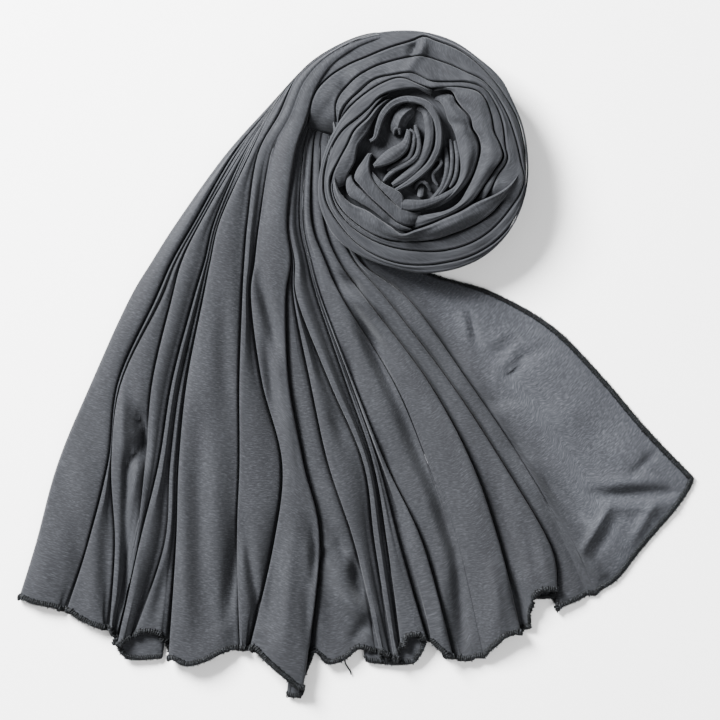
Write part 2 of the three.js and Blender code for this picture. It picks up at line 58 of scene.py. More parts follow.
def add_mesh(name, vertices, faces, material, uv=None, smooth=True, single=None):
    """A mesh object from arrays of points, faces, one UV pair a vertex and, where the cloth lies
    single over the pale surface, how much it does so, which lifts its colour as painted light."""
    mesh = bpy.data.meshes.new(name)
    mesh.from_pydata(np.asarray(vertices).tolist(), [], np.asarray(faces).tolist())
    if uv is not None:
        layer = mesh.uv_layers.new(name="cloth")
        loops = np.empty(len(mesh.loops), dtype=np.int32)
        mesh.loops.foreach_get("vertex_index", loops)
        layer.data.foreach_set("uv", np.asarray(uv)[loops].astype(np.float32).ravel())
    if single is not None:
        values = mesh.attributes.new("single", "FLOAT", "POINT").data
        values.foreach_set("value", np.asarray(single, np.float32).ravel())
    mesh.polygons.foreach_set("use_smooth", [smooth] * len(mesh.polygons))
    mesh.materials.append(material)
    mesh.update()
    piece = bpy.data.objects.new(name, mesh)
    bpy.context.collection.objects.link(piece)
    return piece


def fill(tree, made, sockets):
    """Sets a node's inputs, given by name or number. Another node's output is linked to the input."""
    for key, value in sockets.items():
        if isinstance(value, bpy.types.NodeSocket):
            tree.links.new(value, made.inputs[key])
        else:
            made.inputs[key].default_value = value
    return made


def new_material(name):
    """A material with nodes, its node tree and its shader."""
    material = bpy.data.materials.new(name)
    material.use_nodes = True
    return material, material.node_tree, material.node_tree.nodes["Principled BSDF"]


FLOOR_SIZE = 6.0
FLOOR_LEVEL = -0.0003        # just under the cloth's lowest points
floor_material, floor_tree, floor_shader = new_material("pale_surface")
fill(floor_tree, floor_shader, {"Base Color": (1, 1, 1, 1), "Roughness": 0.9})
floor_corners = np.array([(-1, -1, 0), (1, -1, 0), (1, 1, 0), (-1, 1, 0)]) * FLOOR_SIZE / 2
floor_corners[:, 2] = FLOOR_LEVEL
floor = add_mesh("floor", floor_corners, [(0, 1, 2, 3)], floor_material, smooth=False)


def add_light(name, size, power, place):
    """A square white area light at a place, turned to face the scarf's middle."""
    data = bpy.data.lights.new(name, "AREA")
    data.shape = "SQUARE"
    data.size = size
    data.energy = power
    lamp = bpy.data.objects.new(name, data)
    lamp.location = place
    lamp.rotation_euler = (-lamp.location).to_track_quat("-Z", "Y").to_euler()
    bpy.context.collection.objects.link(lamp)


add_light("window_light", size=0.9, power=420, place=(-1.3, 1.25, 1.25))
add_light("fill_light", size=2.0, power=34, place=(1.2, -0.8, 1.8))
world = bpy.data.worlds.new("studio")
world.use_nodes = True
fill(world.node_tree, world.node_tree.nodes["Background"], {"Color": (1, 1, 1, 1), "Strength": 0.62})
bpy.context.scene.world = world

# The cloth: a single jersey knit of heathered slate yarn. Each yarn's colour wanders, which shows
# as short lighter and darker dashes along the courses, and the face is faintly ribbed by wales.
YARN = {
    "Dark": (0.0072, 0.0079, 0.0098, 1),
    "Mid": (0.0124, 0.0133, 0.0159, 1),
    "Light": (0.0305, 0.0325, 0.0375, 1),
}
DASH = {"long": 2.8 * MM, "thick": 0.5 * MM}
WALE = 0.55 * MM
WALE_SCALE = 2 / (6.2832 * WALE)   # the wave texture's scale for that spacing


def node(tree, kind, sockets=None, **settings):
    """A shader node of a kind with its settings, and its inputs filled by name or number."""
    made = tree.nodes.new("ShaderNode" + kind)
    for key, value in settings.items():
        setattr(made, key, value)
    return fill(tree, made, sockets or {})


def heather_group():
    """Node group: dashes of lighter and darker yarn along the courses, and the knit's fine relief.
    Three stretched noises, added in shares, give the dashes, slubs and cloud. Two waves across each
    other, multiplied, give the stitches."""
    tree = bpy.data.node_groups.new("heathered jersey", "ShaderNodeTree")
    for key in YARN:
        tree.interface.new_socket(key, in_out="INPUT", socket_type="NodeSocketColor")
    for key, kind in (("Colour", "Color"), ("Roughness", "Float"), ("Relief", "Float")):
        tree.interface.new_socket(key, in_out="OUTPUT", socket_type="NodeSocket" + kind)
    yarns = tree.nodes.new("NodeGroupInput").outputs
    uv = node(tree, "UVMap", uv_map="cloth").outputs["UV"]

    def stretched_noise(long, thick, detail, shift):
        """Noise drawn out along the courses."""
        place = node(tree, "Mapping", {
            "Vector": uv, "Scale": (1 / long, 1 / thick, 1), "Location": (shift, shift, 0)})
        noise = node(tree, "TexNoise", {
            "Vector": place.outputs["Vector"], "Scale": 1.0, "Detail": detail, "Roughness": 0.55})
        return noise.outputs["Fac"]

    dashes = stretched_noise(DASH["long"], DASH["thick"], 2.0, 0.0)
    slubs = stretched_noise(DASH["long"] * 2.6, DASH["thick"] * 1.7, 1.0, 7.3)
    cloud = stretched_noise(60 * MM, 40 * MM, 2.0, 3.1)
    tone = 0.0
    for noise, share in ((dashes, 0.6), (slubs, 0.3), (cloud, 0.1)):
        added = node(tree, "Math", {0: noise, 1: share, 2: tone}, operation="MULTIPLY_ADD")
        tone = added.outputs[0]

    colour = yarns["Dark"]
    for key, low, high in (("Mid", 0.36, 0.5), ("Light", 0.5, 0.66)):
        share = node(tree, "MapRange", {"Value": tone, "From Min": low, "From Max": high})
        mixed = node(tree, "Mix", {"Factor": share.outputs["Result"], "A": colour, "B": yarns[key]},
                     data_type="RGBA")
        colour = mixed.outputs["Result"]
    rough = node(tree, "MapRange", {
        "Value": tone, "From Min": 0.3, "From Max": 0.7, "To Min": 0.74, "To Max": 0.92})

    place = node(tree, "Mapping", {"Vector": uv, "Scale": (WALE_SCALE, WALE_SCALE, 1)})
    wales, courses = (
        node(tree, "TexWave", {
            "Vector": place.outputs["Vector"], "Scale": fine, "Distortion": bent, "Detail": 1.0},
             bands_direction=direction).outputs["Fac"]
        for fine, bent, direction in ((1.0, 0.6, "X"), (0.8, 0.8, "Y")))
    relief = node(tree, "Math", {0: wales, 1: courses, 2: dashes}, operation="MULTIPLY_ADD")
    fill(tree, tree.nodes.new("NodeGroupOutput"), {
        "Colour": colour, "Roughness": rough.outputs["Result"], "Relief": relief.outputs[0]})
    return tree


# Where the cloth lies single, its colour is lifted as painted light, standing in for the light that
# comes through from the pale surface: the yarn's colour times one plus the mesh's own value.
cloth, cloth_tree, cloth_shader = new_material("slate_jersey")
heather = node(cloth_tree, "Group", node_tree=heather_group())
fill(cloth_tree, heather, YARN)
single = node(cloth_tree, "Attribute", attribute_name="single").outputs["Fac"]
lift = node(cloth_tree, "Math", {0: single, 1: 1.0}, operation="ADD").outputs[0]
painted_light_colour = node(cloth_tree, "VectorMath", {0: heather.outputs["Colour"], "Scale": lift},
              operation="SCALE")
bump = node(cloth_tree, "Bump", {
    "Height": heather.outputs["Relief"], "Strength": 0.35, "Distance": 0.12 * MM})
fill(cloth_tree, cloth_shader, {
    "Base Color": painted_light_colour.outputs[0], "Roughness": heather.outputs["Roughness"],
    "Normal": bump.outputs["Normal"], "Specular IOR Level": 0.2,
    "Sheen Weight": 0.1, "Sheen Roughness": 0.45, "Sheen Tint": (0.84, 0.87, 0.92, 1)})

# The fanned end: the cloth pleated by hand from a gather, nineteen folds across, each lying on its
# neighbour. Left of the middle the folds open to the left, and right of it to the right. The smooth
# corner beside them is the same cloth, which runs on from the last fold. Millimetres.
CLOTH_THICK = 0.6 * MM
COIL_CENTRE = np.array([43.5, 138.7])
LEVELS = [138.3, 95, 67, 40, -15, -70, -125]       # places up the page where rims are given across
TURNED = [16, 32, 48, 68, 90]                      # degrees round the coil, where they are radii
ROLL_END_TUCK = 5                                  # how far inwards the roll's far end slips, out of sight
# One row a fold. across: its rim at each level; turned: its radius at each turn past the gather;
# open: the side that lies open; high: its height over its neighbour, deep: the groove beside it and
# lap: how far it laps, each at even steps from the gather to the hem. hem: the rim's end at the hem,
# foot: the neighbour's hem beside it, middle: three points of the hem to its right, tuck and lip:
# how much further its under layer reaches at the hem, inwards and past the hem.
FOLD_COLUMNS = ("open", "across", "turned", "high", "deep", "lap", "hem", "foot", "middle", "tuck", "lip")
FOLDS = [dict(zip(FOLD_COLUMNS, row)) for row in (
    (-1, [-91, -122, -140, -156, -181, -204, -219], [111.5, 101, 94.9, 88.6, 82.9],
     [5, 3.5, 4], [1, 1, 1], [4, 8, 8],
     (-230.5, -162), (-230.5, -162), [(-220.3, -165.2), (-209.4, -167.3), (-202.6, -169.3)]),
    (-1, [-84.5, -109, -125, -137, -162, -169, -183], [109.2, 100.6, 94.7, 88.4, 82.8],
     [3, 4.6, 3], [3, 4, 2], [1, 4, 5],
     (-198, -171), (-199.5, -170), [(-189, -176.1), (-178.2, -180.9), (-172, -182.6)]),
    (-1, [-82, -107, -122.5, -133.5, -160, -167, -164.5], [108.5, 100.4, 94.6, 88.3, 82.75],
     [1, 2, 4.5], [1, 1, 4], [0.5, 1, 6],
     (-168.5, -183), (-170, -182.5), [(-167.8, -184), (-167, -185), (-166.2, -186)]),
    (-1, [-80, -105, -118.7, -126, -139, -144, -151], [107.8, 100.2, 94.5, 88.2, 82.7],
     [2, 3, 3.6, 3.8, 3.6, 2.4, 0.4, 0.3], [2, 3, 3.4, 3.4, 3, 2, 0.3, 0.2], [1, 1.5, 2, 2, 2, 1.4, 0.3, 0.2],
     (-165.5, -187), (-165.8, -186.6), [(-165, -189), (-164.6, -190.5), (-164.2, -192)]),
    (-1, [-77.5, -96, -103, -111, -125.5, -134.5, -148], [107.2, 100.1, 94.4, 88.1, 82.65],
     [2, 4.6, 5.5], [2, 4, 4], [1, 3, 5],
     (-163.2, -193.8), (-163.8, -193), [(-160, -193), (-157, -191), (-154.5, -189)], 25, 9),
    (-1, [-75.5, -94.3, -101.3, -107.5, -120, -127, -131], [106.6, 100, 94.3, 88, 82.6],
     [0.8, 1.2, 3.4], [0.8, 1, 2], [0.4, 1, 3],
     (-152.5, -187.7), (-153, -188), [(-147.5, -185), (-141, -185), (-134.6, -187.2)]),
    (-1, [-73, -92.6, -99.3, -104.7, -115.6, -121, -123], [106, 99.9, 94.2, 87.9, 82.55],
     [3, 5.6, 6], [3, 5, 5], [1, 5, 7],
     (-128.5, -203), (-129.4, -190.6), [(-116.3, -207.1), (-104, -204.3), (-92.5, -198.6)]),
    (-1, [-67.5, -74, -76.5, -78, -80, -80, -82], [100, 99.3, 94, 87.7, 82.5],
     [2.6, 4, 2], [2, 4, 1], [1, 3, 1.5],
     (-80, -196.5), (-81, -196.4), [(-78.6, -196.8), (-77.4, -196.9), (-76.4, -196.8)]),
    (-1, [-58.5, -66, -69.4, -72, -64.6, -51, -57], [92, 92.5, 90.5, 85.8, 82.45],
     [1, 6, 5.5], [1, 6, 4], [0.5, 6, 8],
     (-73.5, -196), (-75, -196.6), [(-63.9, -202.6), (-56.4, -209.4), (-48.3, -216.2)], 4, 2),
    (1, [-42.5, -48, -45.5, -49, -47, -37, -26], [82, 84.3, 85.3, 82.8, 82.4],
     [6, 4.4, 6.5], [5, 4, 6], [2.5, 3, 7],
     (-37, -222.5), (-31.5, -197.9), [(-21.1, -206), (-8.8, -203), (0, -195.8)], 4, 6),
    (-1, [-42, -47.4, -44, -43, -32, -20, -2], [80.5, 82, 82, 81, 80],
     [1.4, 4.6, 4], [1.4, 4.6, 3], [0.5, 3, 4],
     (15, -198.5), (13.6, -198), [(17.4, -199.8), (19.7, -200.9), (22, -202.3)], 6, 6),
    (-1, [-41.5, -46.8, -42.6, -40.6, -19, 4, 11.6], [79.5, 81, 81, 80, 79],
     [1.4, 5, 4.4], [1.4, 5, 3], [0.5, 4, 4],
     (24.5, -204), (23.2, -203.2), [(25.8, -203), (27, -200), (28, -197)]),
    (-1, [-36.7, -39, -33.8, -26.7, -8, 10.5, 20], [78.5, 80, 80, 79, 78],
     [1.4, 5, 5], [1.4, 5, 4], [0.5, 3, 4],
     (29.2, -194.5), (28.6, -195.6), [(33.3, -188.4), (37.4, -187), (41.5, -187)]),
    (1, [-36.1, -38.4, -33, -25.6, -5.5, 13.6, 28], [77.5, 79, 79, 78, 77],
     [0.6, 1, 5.5], [0.6, 1, 5], [0.3, 0.8, 4],
     (46.2, -189.7), (46.8, -190.8), [(49.6, -191), (54.4, -195.8), (58.5, -199.2)], 37, 16),
    (1, [-35.5, -37.8, -32.2, -24.4, -3.3, 18.5, 44], [76.5, 78, 78, 77, 76],
     [0.6, 1.6, 6], [0.6, 1.6, 6], [0.3, 1, 6],
     (64.6, -202), (66, -203), [(68.5, -203.6), (73.4, -204), (78, -203.2)]),
    (1, [-31, -31.8, -22.4, -9.7, 24, 47, 64.6], [74.5, 75.5, 76, 75.5, 75],
     [2, 3, 4, 4, 2, 0.8, 0.2, 0.1], [2, 3, 4, 4, 2, 0.8, 0.2, 0.1], [0.6, 1, 1.6, 2, 1, 0.3, 0.1, 0.1],
     (81.6, -202), (82.6, -201.6), [(89, -197.9), (95.9, -191.8), (100, -187.7)]),
    (1, [-26, -23.5, -13.4, 6.2, 47.6, 77, 96], [70, 72, 74, 74, 74],
     [1, 5.6, 6], [1, 6, 5], [0.3, 4, 7],
     (110.8, -185.6), (113, -182), [(115.6, -174), (117.6, -163.9), (124.4, -157.1)]),
    (1, [-20, -15, -3, 20, 62, 98, 130], [65, 69, 72, 73, 73],
     [1, 5, 6], [1, 5.6, 4], [0.3, 3, 6],
     (135.3, -156.4), (132.6, -170), [(137.4, -168), (144, -165.3), (151, -162.3)], 14, 5),
    (1, [-14, -7, 1, 35, 75, 112, 143], [60, 66, 70, 72, 72],
     [2, 4, 5, 5.4, 4.6, 1.6, 0.1, 0.1], [2, 4, 5, 5, 4, 1.2, 0.05, 0.05], [1, 2, 3, 3.5, 3, 1, 0.1, 0.1],
     (157.8, -159.6), (158.6, -159.2), []),
)]
# Height of the heap, from the far end of the roll to the hem: at its middle and at its two sides.
HEAP = {
    "middle": [22, 27, 27.5, 25.5, 23.5, 22, 19, 17, 15.5, 13.5, 11.5, 9, 5],
    "left": [2, 2, 3, 5, 7, 7, 6, 5.5, 5, 4.5, 4, 3, 2],
    "right": [12, 12, 12, 13, 15, 17, 14, 9, 5.5, 4, 3, 2.4, 1.6],
}
# How much of the heap's height each fold stands on past the gather: the fold, and its share. The
# folds left of the eighth stand against the roll's outer side, and the roll lies on the next three.
STACKED = {0: 0.04, 7: 0.86, 8: 1.0, 9: 0.93, 10: 0.62, 18: 0.4}
LOWEST = 0.8                 # the least height of the sheet's face over the surface
SHOULDER = 4.2               # how far from its rim a fold's neighbour begins to round down
UNDER_COIL_HIGH = 19         # the folds are pressed down to this where the coil lies on them
UNDER_COIL_RADIUS = 76
CORNER_SWELL = 3.4           # how far the corner stands off the surface in its middle
SPLIT_FOLDS = (9, 17)        # the sheet is built in three parts, which meet out of sight under these folds
FAN_ROWS = (118, 118, 230)   # rows of points down each part: the smooth corner shows finer creases
# The free side of the corner, from under the coil down to its tip, and the hem from there inwards.
CORNER_SIDE = [(45, 60.5), (57.5, 56.4), (82.5, 48.8), (108.5, 38), (135, 20), (161.5, -7), (189.4, -39.5),
    (215, -69), (228, -80.5)]
CORNER_UNDER_COIL = [(43, 199), (19, 194), (2, 185), (-9, 171), (-16, 156), (-13, 130), (4, 93)]
CORNER_HEM = [(158.6, -159.2), (168, -154.4), (177, -148), (190, -131.5), (203, -116), (216, -101),
    (225.5, -87), (228, -80.5)]
# Creases that the folding pressed into the cloth: both ends, height (or depth) and half width.
CREASES = [
    # the corner: the long ridge that runs on from the last fold, and the soft folds beyond it
    (108, -66, 133, -104, 5.8, 5.1), (133, -104, 165, -145, 7.6, 4.7), (122, -74, 151, -104, -4, 3.4),
    (143, -116, 166, -142, -2.9, 3), (152, -130, 170, -100, 3.6, 3.2), (158, -136, 177, -106, -1.8, 4),
    (160, -91.5, 222, -90.5, -4.6, 3.4), (172, -99.5, 214, -101, 2.4, 4.2), (160, -84, 208, -82, 2.5, 4.2),
    (75, 33, 79.8, 11.5, -4, 1.7), (71, 31, 75, 10, 2.2, 3), (90, 5.5, 105, 15.4, -3.6, 1.7),
    (88, 8.5, 103, 19, 2, 3), (97, -17.5, 114, 7.5, -3.8, 1.8), (94, -14, 110, 9, 2.4, 3),
    (110, -3, 130, 11, -2.2, 2.2), (46, 34, 80, -9, -3.4, 5), (80, -6, 97, -28, -2.6, 4),
    (86, -29, 110, -25, -2.4, 3.4), (62, 52, 92, 20, 1.6, 8), (58, 46, 84, 38, -1.8, 4),
    (100, -42, 117, -70, -3, 3), (128, -84, 154, -108, -4.4, 2.8), (120, -44, 154, -34, 1.6, 10),
    (172, -58, 200, -76, 2, 7), (186, -124, 202, -98, 2.9, 4.2), (142, 4, 164, -20, 1.4, 5),
    (186, -78, 208, -58, -2, 3.4), (70, 18, 96, -14, -1.6, 5), (196, -64, 214, -84, -2, 3),
    # left of the fan: the deep swirl beside the second fold and the soft line below it
    (-152, -34, -145.5, -47, -7, 3), (-145.5, -44, -144.8, -68, -8, 3.2),
    (-146, -56, -156.4, -71, -6.5, 2.8), (-156.4, -66, -157.6, -102, -5.4, 2.6),
    (-157.6, -96, -158.4, -170, -4.4, 2.6), (-160.5, -18, -158.5, -64, 4, 4),
    (-148, -66, -152.3, -100, 4.6, 4), (-150, -98, -151, -150, 1.6, 4), (-151, -24, -146, -38, 2.4, 4),
    (-196, -100, -182, -160, -2.2, 7), (-204, -50, -196, -100, -2, 8), (-190, -20, -176, -60, -1.6, 6),
    (-214, -120, -214, -164, 1.4, 8), (-196, -10, -186, -30, 1, 8), (-170, 30, -160, 0, 1.2, 6),
    (-181, -130, -180, -176, 1.2, 5), (-172, -110, -171, -178, -2.2, 4),
    # the wide panels left of the middle
    (-107, -40, -106, -190, -3.5, 6), (-97, -60, -92, -180, 2.2, 8), (-119, -60, -117, -186, 2.2, 5),
    (-80.5, -108, -90, -176, -4.6, 4), (-77, -112, -67, -178, -4.6, 3.4), (-84, 60, -80, -60, 1.6, 5),
    (-54, -110, -62, -190, -3.2, 6), (-45, -120, -50, -196, 2.2, 5), (-62, 14, -56, -42, -5.4, 4),
    (-67.5, 56, -54, 6, -7.4, 3.6), (-48, -16, -44, -60, 1.9, 4), (-92, 40, -90, -30, -1.6, 5),
    (-112, 30, -118, -20, -1.6, 4), (-100, -150, -98, -200, -1.9, 5), (-130, -140, -138, -178, -2.4, 4),
    # the panel right of the leaf, with a hollow above its hem
    (-36, -112, -18, -142, -6.2, 5), (-32, -128, -10, -110, 3.2, 5), (-14, -156, 6, -176, 5.4, 4.4),
    (-6, -146, 10, -168, -3.8, 4), (-28, -150, -26, -190, 2.7, 6), (6, -176, -4, -194, -3.8, 4),
    (-34, -150, -33, -196, -2.7, 4), (-24, -84, -10, -100, 1.9, 5), (-22, -110, -8, -132, -6.1, 3.6),
    (-3, -136, 1.6, -158, -6.8, 3.4), (-30, -116, -30, -150, -3.5, 2.6), (-18, -38, -9, -56, -3.5, 3.4),
    # right of the middle
    (-14, 46, 11, 35, 5.4, 2.6), (-11, 57, 2, 47.6, -6.8, 2.8), (1, 28, 20, 4, -7.6, 3.6),
    (2, 22, 24, -22, -9.5, 4), (24, -22, 50, -86, -7.4, 5), (50, -86, 66, -130, -6.1, 5),
    (66, -130, 72, -198, -5.4, 4.5), (38, -60, 64, -140, 2.4, 6), (86, -60, 112, -140, -3.5, 5),
    (14, -60, 34, -120, -3, 4), (90, -140, 98, -190, 2.7, 5), (30, 46, 64, 12, 2.2, 4),
    (112, -110, 126, -150, -2.7, 5), (64, -40, 84, -90, 2.7, 6), (40, 20, 62, -14, -2.2, 4),
    (120, -120, 130, -150, 2.2, 4), (0, -30, 16, -64, 2.2, 4), (-8, 14, -2, -16, -2.7, 3.4),
    (56, -150, 58, -196, 1.9, 4), (104, -150, 112, -178, -3.2, 4), (8, -100, 18, -150, -1.9, 3),
]


def cubic(a, b, slope_a, slope_b, f):
    """The cubic between two values that has the given slopes at them, at a share f of the way."""
    rise = b - a
    return a + f * (slope_a + f * (3 * rise - 2 * slope_a - slope_b + f * (slope_a + slope_b - 2 * rise)))


def through(values, places):
    """Catmull-Rom: a smooth curve through evenly spaced values, read at fractional places.
    values has the stations on its first axis."""
    values = np.asarray(values, float)
    last = len(values) - 1
    start = np.clip(np.floor(places).astype(int), 0, last - 1)
    f = (places - start).reshape((-1,) + (1,) * (values.ndim - 1))
    a, b = values[start], values[start + 1]
    before = values[np.maximum(start - 1, 0)]
    after = values[np.minimum(start + 2, last)]
    slope_a, slope_b = (b - before) / 2, (after - a) / 2
    return cubic(a, b, slope_a, slope_b, f)


def grid_faces(rows, columns, wrap=False):
    """Four-cornered faces of a grid of points, rows by columns, its first row at the top."""
    r, c = np.meshgrid(np.arange(rows - 1), np.arange(columns if wrap else columns - 1), indexing="ij")
    here, right = r * columns + c, r * columns + (c + 1) % columns
    return np.stack([here, here + columns, right + columns, right], axis=-1).reshape(-1, 4)


def cloth_uv(points, anchor):
    """UV of a grid of points in metres: across, the distance along each row from an anchor column;
    down, the distance along each column."""
    across = np.linalg.norm(np.diff(points, axis=1), axis=2)
    across = np.concatenate([np.zeros((len(points), 1)), np.cumsum(across, axis=1)], axis=1)
    across -= across[:, anchor][:, None]
    down = np.linalg.norm(np.diff(points, axis=0), axis=2)
    down = np.concatenate([np.zeros((1, points.shape[1])), np.cumsum(down, axis=0)], axis=0)
    return np.stack([across, down], axis=-1).reshape(-1, 2)


def cloth_sheet(name, points, faces, anchor, nodes, thickness=CLOTH_THICK, single=None):
    """A sheet of cloth from its grid of points, which are its face: the thickness goes inwards."""
    piece = add_mesh(name, points.reshape(-1, 3), faces, cloth, cloth_uv(points, anchor), single=single)
    wall = piece.modifiers.new("cloth thickness", "SOLIDIFY")
    wall.thickness = thickness
    wall.offset = -1
    wall.use_even_offset = False
    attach(piece, "root")
    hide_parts(*nodes)


def round_coil(turned, radius):
    """The point at some turned degrees, clockwise from the left, and a radius round the coil."""
    angle = np.radians(turned)
    x, y = COIL_CENTRE
    return np.stack([x - radius * np.cos(angle), y + radius * np.sin(angle)], axis=-1)


def crease_height(flat, creases):
    """Sum of the creases: each a bell across its line that fades towards its ends."""
    total = np.zeros(flat.shape[:-1])
    for x0, y0, x1, y1, rise, spread in creases:
        start, run = np.array([x0, y0]), np.array([x1 - x0, y1 - y0])
        f = (flat - start) @ run / (run @ run)
        along = np.clip(f, 0, 1)
        away = np.linalg.norm(flat - start - along[..., None] * run, axis=-1)
        total += rise * np.exp(-((away / spread) ** 2)) * (0.35 + 0.65 * np.sin(np.pi * along))
    return total


def unit_rows(vectors):
    """Vectors, a row each, divided by their lengths."""
    return vectors / np.maximum(np.linalg.norm(vectors, axis=1), 1e-9)[:, None]


def fan_stations():
    """Places of every rim at every station, from the far end of the roll to the hem (stations,
    folds, x and y), and the way across the cloth at each station."""
    places = []
    ways = []
    for k in reversed(range(len(TURNED))):
        tuck = ROLL_END_TUCK if k == len(TURNED) - 1 else 0
        places.append([round_coil(TURNED[k], fold["turned"][k] - tuck) for fold in FOLDS])
        angle = np.radians(TURNED[k])
        ways.append([np.cos(angle), -np.sin(angle)])
    for k, level in enumerate(LEVELS):
        places.append([[fold["across"][k], level] for fold in FOLDS])
        ways.append([1, 0])
    places.append([fold["hem"] for fold in FOLDS])
    ways.append([1, 0])
    return np.array(places, float), np.array(ways, float)


def fan_controls(rows):
    """Points that steer the cloth's section at every row. At a fold the cloth rounds over its
    neighbour's shoulder into a groove, runs under the fold, turns back, rounds the rim and rises to
    the crest. Between two folds its face falls from one height to the next. Millimetres."""
    places, ways = fan_stations()
    last = len(places) - 1
    rims = through(places, rows)
    way = unit_rows(through(ways, rows))
    down = np.clip((rows - len(TURNED)) / (last - len(TURNED)), 0, 1)

    def down_fold(key):
        """A column of the folds' table, read at every row: rows by folds."""
        return np.stack([through(fold[key], down * (len(fold[key]) - 1)) for fold in FOLDS], axis=1)

    high, deep, lap = down_fold("high"), down_fold("deep"), down_fold("lap")
    at_hem = np.clip(rows - (last - 1), 0, 1)
    hem_share = at_hem ** 2
    tuck_share = np.clip((at_hem - 0.15) / 0.6, 0, 1)
    lip_share = np.clip((at_hem - 0.55) / 0.45, 0, 1) ** 1.5

    first, final = rims[:, :1], rims[:, -1:]
    span = np.linalg.norm(final - first, axis=2)
    share = np.clip(np.linalg.norm(rims - first, axis=2) / span, 0, 1)
    middle, left, right = (through(HEAP[key], rows)[:, None] for key in ("middle", "left", "right"))
    edge = left + (right - left) * share
    dome = edge + (middle - edge) * np.sqrt(np.sin(np.pi * share))
    stacked = np.interp(np.arange(len(FOLDS)), list(STACKED), list(STACKED.values()))
    past_gather = np.clip((len(TURNED) + 0.6 - rows) / 1.6, 0, 1)[:, None]
    low = dome * (1 - past_gather) + middle * stacked[None] * past_gather
    high = high * (1 - 0.5 * past_gather)
    deep = np.minimum(deep, np.maximum(low - 1.1, 0.1))

    width = np.linalg.norm(np.diff(rims, axis=1), axis=2)
    wide_left = np.concatenate([width[:, :1], width], axis=1)
    wide_right = np.concatenate([width, width[:, -1:] + 20], axis=1)

    points, steps = [], []

    def add(flat, height, step):
        """One control point a row; step is how many columns lead on from it."""
        points.append(np.concatenate([flat, np.maximum(height, LOWEST)[:, None]], axis=1))
        steps.append(step)

    def fold_points(i):
        """The control points round one fold, listed from its neighbour's shoulder to its crest."""
        side = -FOLDS[i]["open"]
        above, below = wide_left[:, i], wide_right[:, i]
        if side > 0:
            above, below = below, above
        z, h = low[:, i], np.minimum(high[:, i], above * 0.9 + 0.4)
        d = np.minimum(deep[:, i], below * 1.2)
        under = np.minimum(lap[:, i], above * 0.6) + FOLDS[i].get("tuck", 0) * tuck_share
        lip = FOLDS[i].get("lip", 0) * lip_share
        shut = np.clip((h - 0.15) / 0.85, 0, 1)          # 0 where the fold has opened out flat
        r = np.minimum(0.35 * h + 0.7, above * 0.28)     # the radius of its rim
        shoulder = np.minimum(SHOULDER, below * 0.36)
        foot = np.array(FOLDS[i]["foot"], float) - np.array(FOLDS[i]["hem"], float)
        rim = rims[:, i]
        neighbour = rim + foot * hem_share[:, None]
        ground = np.maximum((z - d) * (1 - 0.45 * tuck_share), LOWEST)
        top = z + h

        def at(base, offset, lower=0.0):
            """Points beside a line: some way towards the fold, and lower down the page."""
            shifted = base + way * (side * offset)[:, None]
            return shifted - np.stack([0 * rows, lower + 0 * rows], axis=1)

        folded = [
            (at(neighbour, -shoulder), z, 3),
            (at(neighbour, -0.42 * shoulder), z - 0.3 * d, 3),
            (at(neighbour * 0.6 + rim * 0.4, -0.06 * shoulder), z - d, 2),
            (at(rim, 0.35 * under, lip * 0.4), ground, 2),
            (at(rim, 0.8 * under, lip * 0.75), ground + 0.1, 2),
            (at(rim, under, lip * 0.9), ground + 0.5 + 0.1 * (top - ground), 2),
            (at(rim, 0.8 * under, lip), ground + 0.7 + 0.2 * (top - ground), 2),
            (at(rim, 0.2 * under, lip), top - np.maximum(1.1 * r, 0.62 * (top - ground)), 2),
            (at(rim, 0 * rows), top - 0.8 * r, 2),
            (at(rim, 0.35 * r), top - 0.22 * r, 2),
            (at(rim, 1.3 * r), top, 4),
        ]
        opened = []
        reach = np.minimum(0.6 * shoulder, 0.22 * above)
        for share, (flat, height, step) in zip(np.linspace(0, 1, len(folded)), folded):
            even = at(rim, share * (shoulder + reach) - shoulder)
            flat = even + (flat - even) * shut[:, None]
            opened.append((flat, (z + h * share) * (1 - shut) + height * shut, step))
        return opened

    fold_ends = []
    for i, fold in enumerate(FOLDS):
        if i == 0:
            z = low[:, 0] + high[:, 0]
            lapped = [
                (rims[:, 0] + way * 6, 0 * z + 0.9, 2),
                (rims[:, 0] + way * 2, 0 * z + 0.8, 2),
                (rims[:, 0] + way * 0.3, z * 0.25, 2),
                (rims[:, 0], z * 0.55, 2),
                (rims[:, 0] + way * 0.8, z * 0.86, 3),
                (rims[:, 0] + way * 2.8, z, 4),
            ]
        else:
            lapped = fold_points(i)
            if fold["open"] > 0:
                flats, heights, counts = zip(*lapped)
                lapped = [*zip(flats, heights, (4, *counts[:-1]))][::-1]
        for flat, height, step in lapped:
            add(flat, height, step)
        fold_ends.append(len(points))
        if i == len(FOLDS) - 1:
            break
        start, start_high = lapped[-1][:2]
        following = fold_points(i + 1)
        end, end_high = (following[0] if FOLDS[i + 1]["open"] < 0 else following[-1])[:2]
        for v, hem_point in zip((0.25, 0.5, 0.75), fold["middle"]):
            straight = start + (end - start) * v
            flat = straight + (np.array(hem_point, float) - straight[-1]) * hem_share[:, None]
            drop = np.where(start_high > end_high, v ** 1.5, 1 - (1 - v) ** 1.5)
            swell = 0.05 * np.minimum(np.linalg.norm(end - start, axis=1), 30) * np.sin(np.pi * v)
            add(flat, start_high + (end_high - start_high) * drop + swell, 4)
    steps[-1] = 4
    splits = [fold_ends[fold] - 7 for fold in SPLIT_FOLDS]

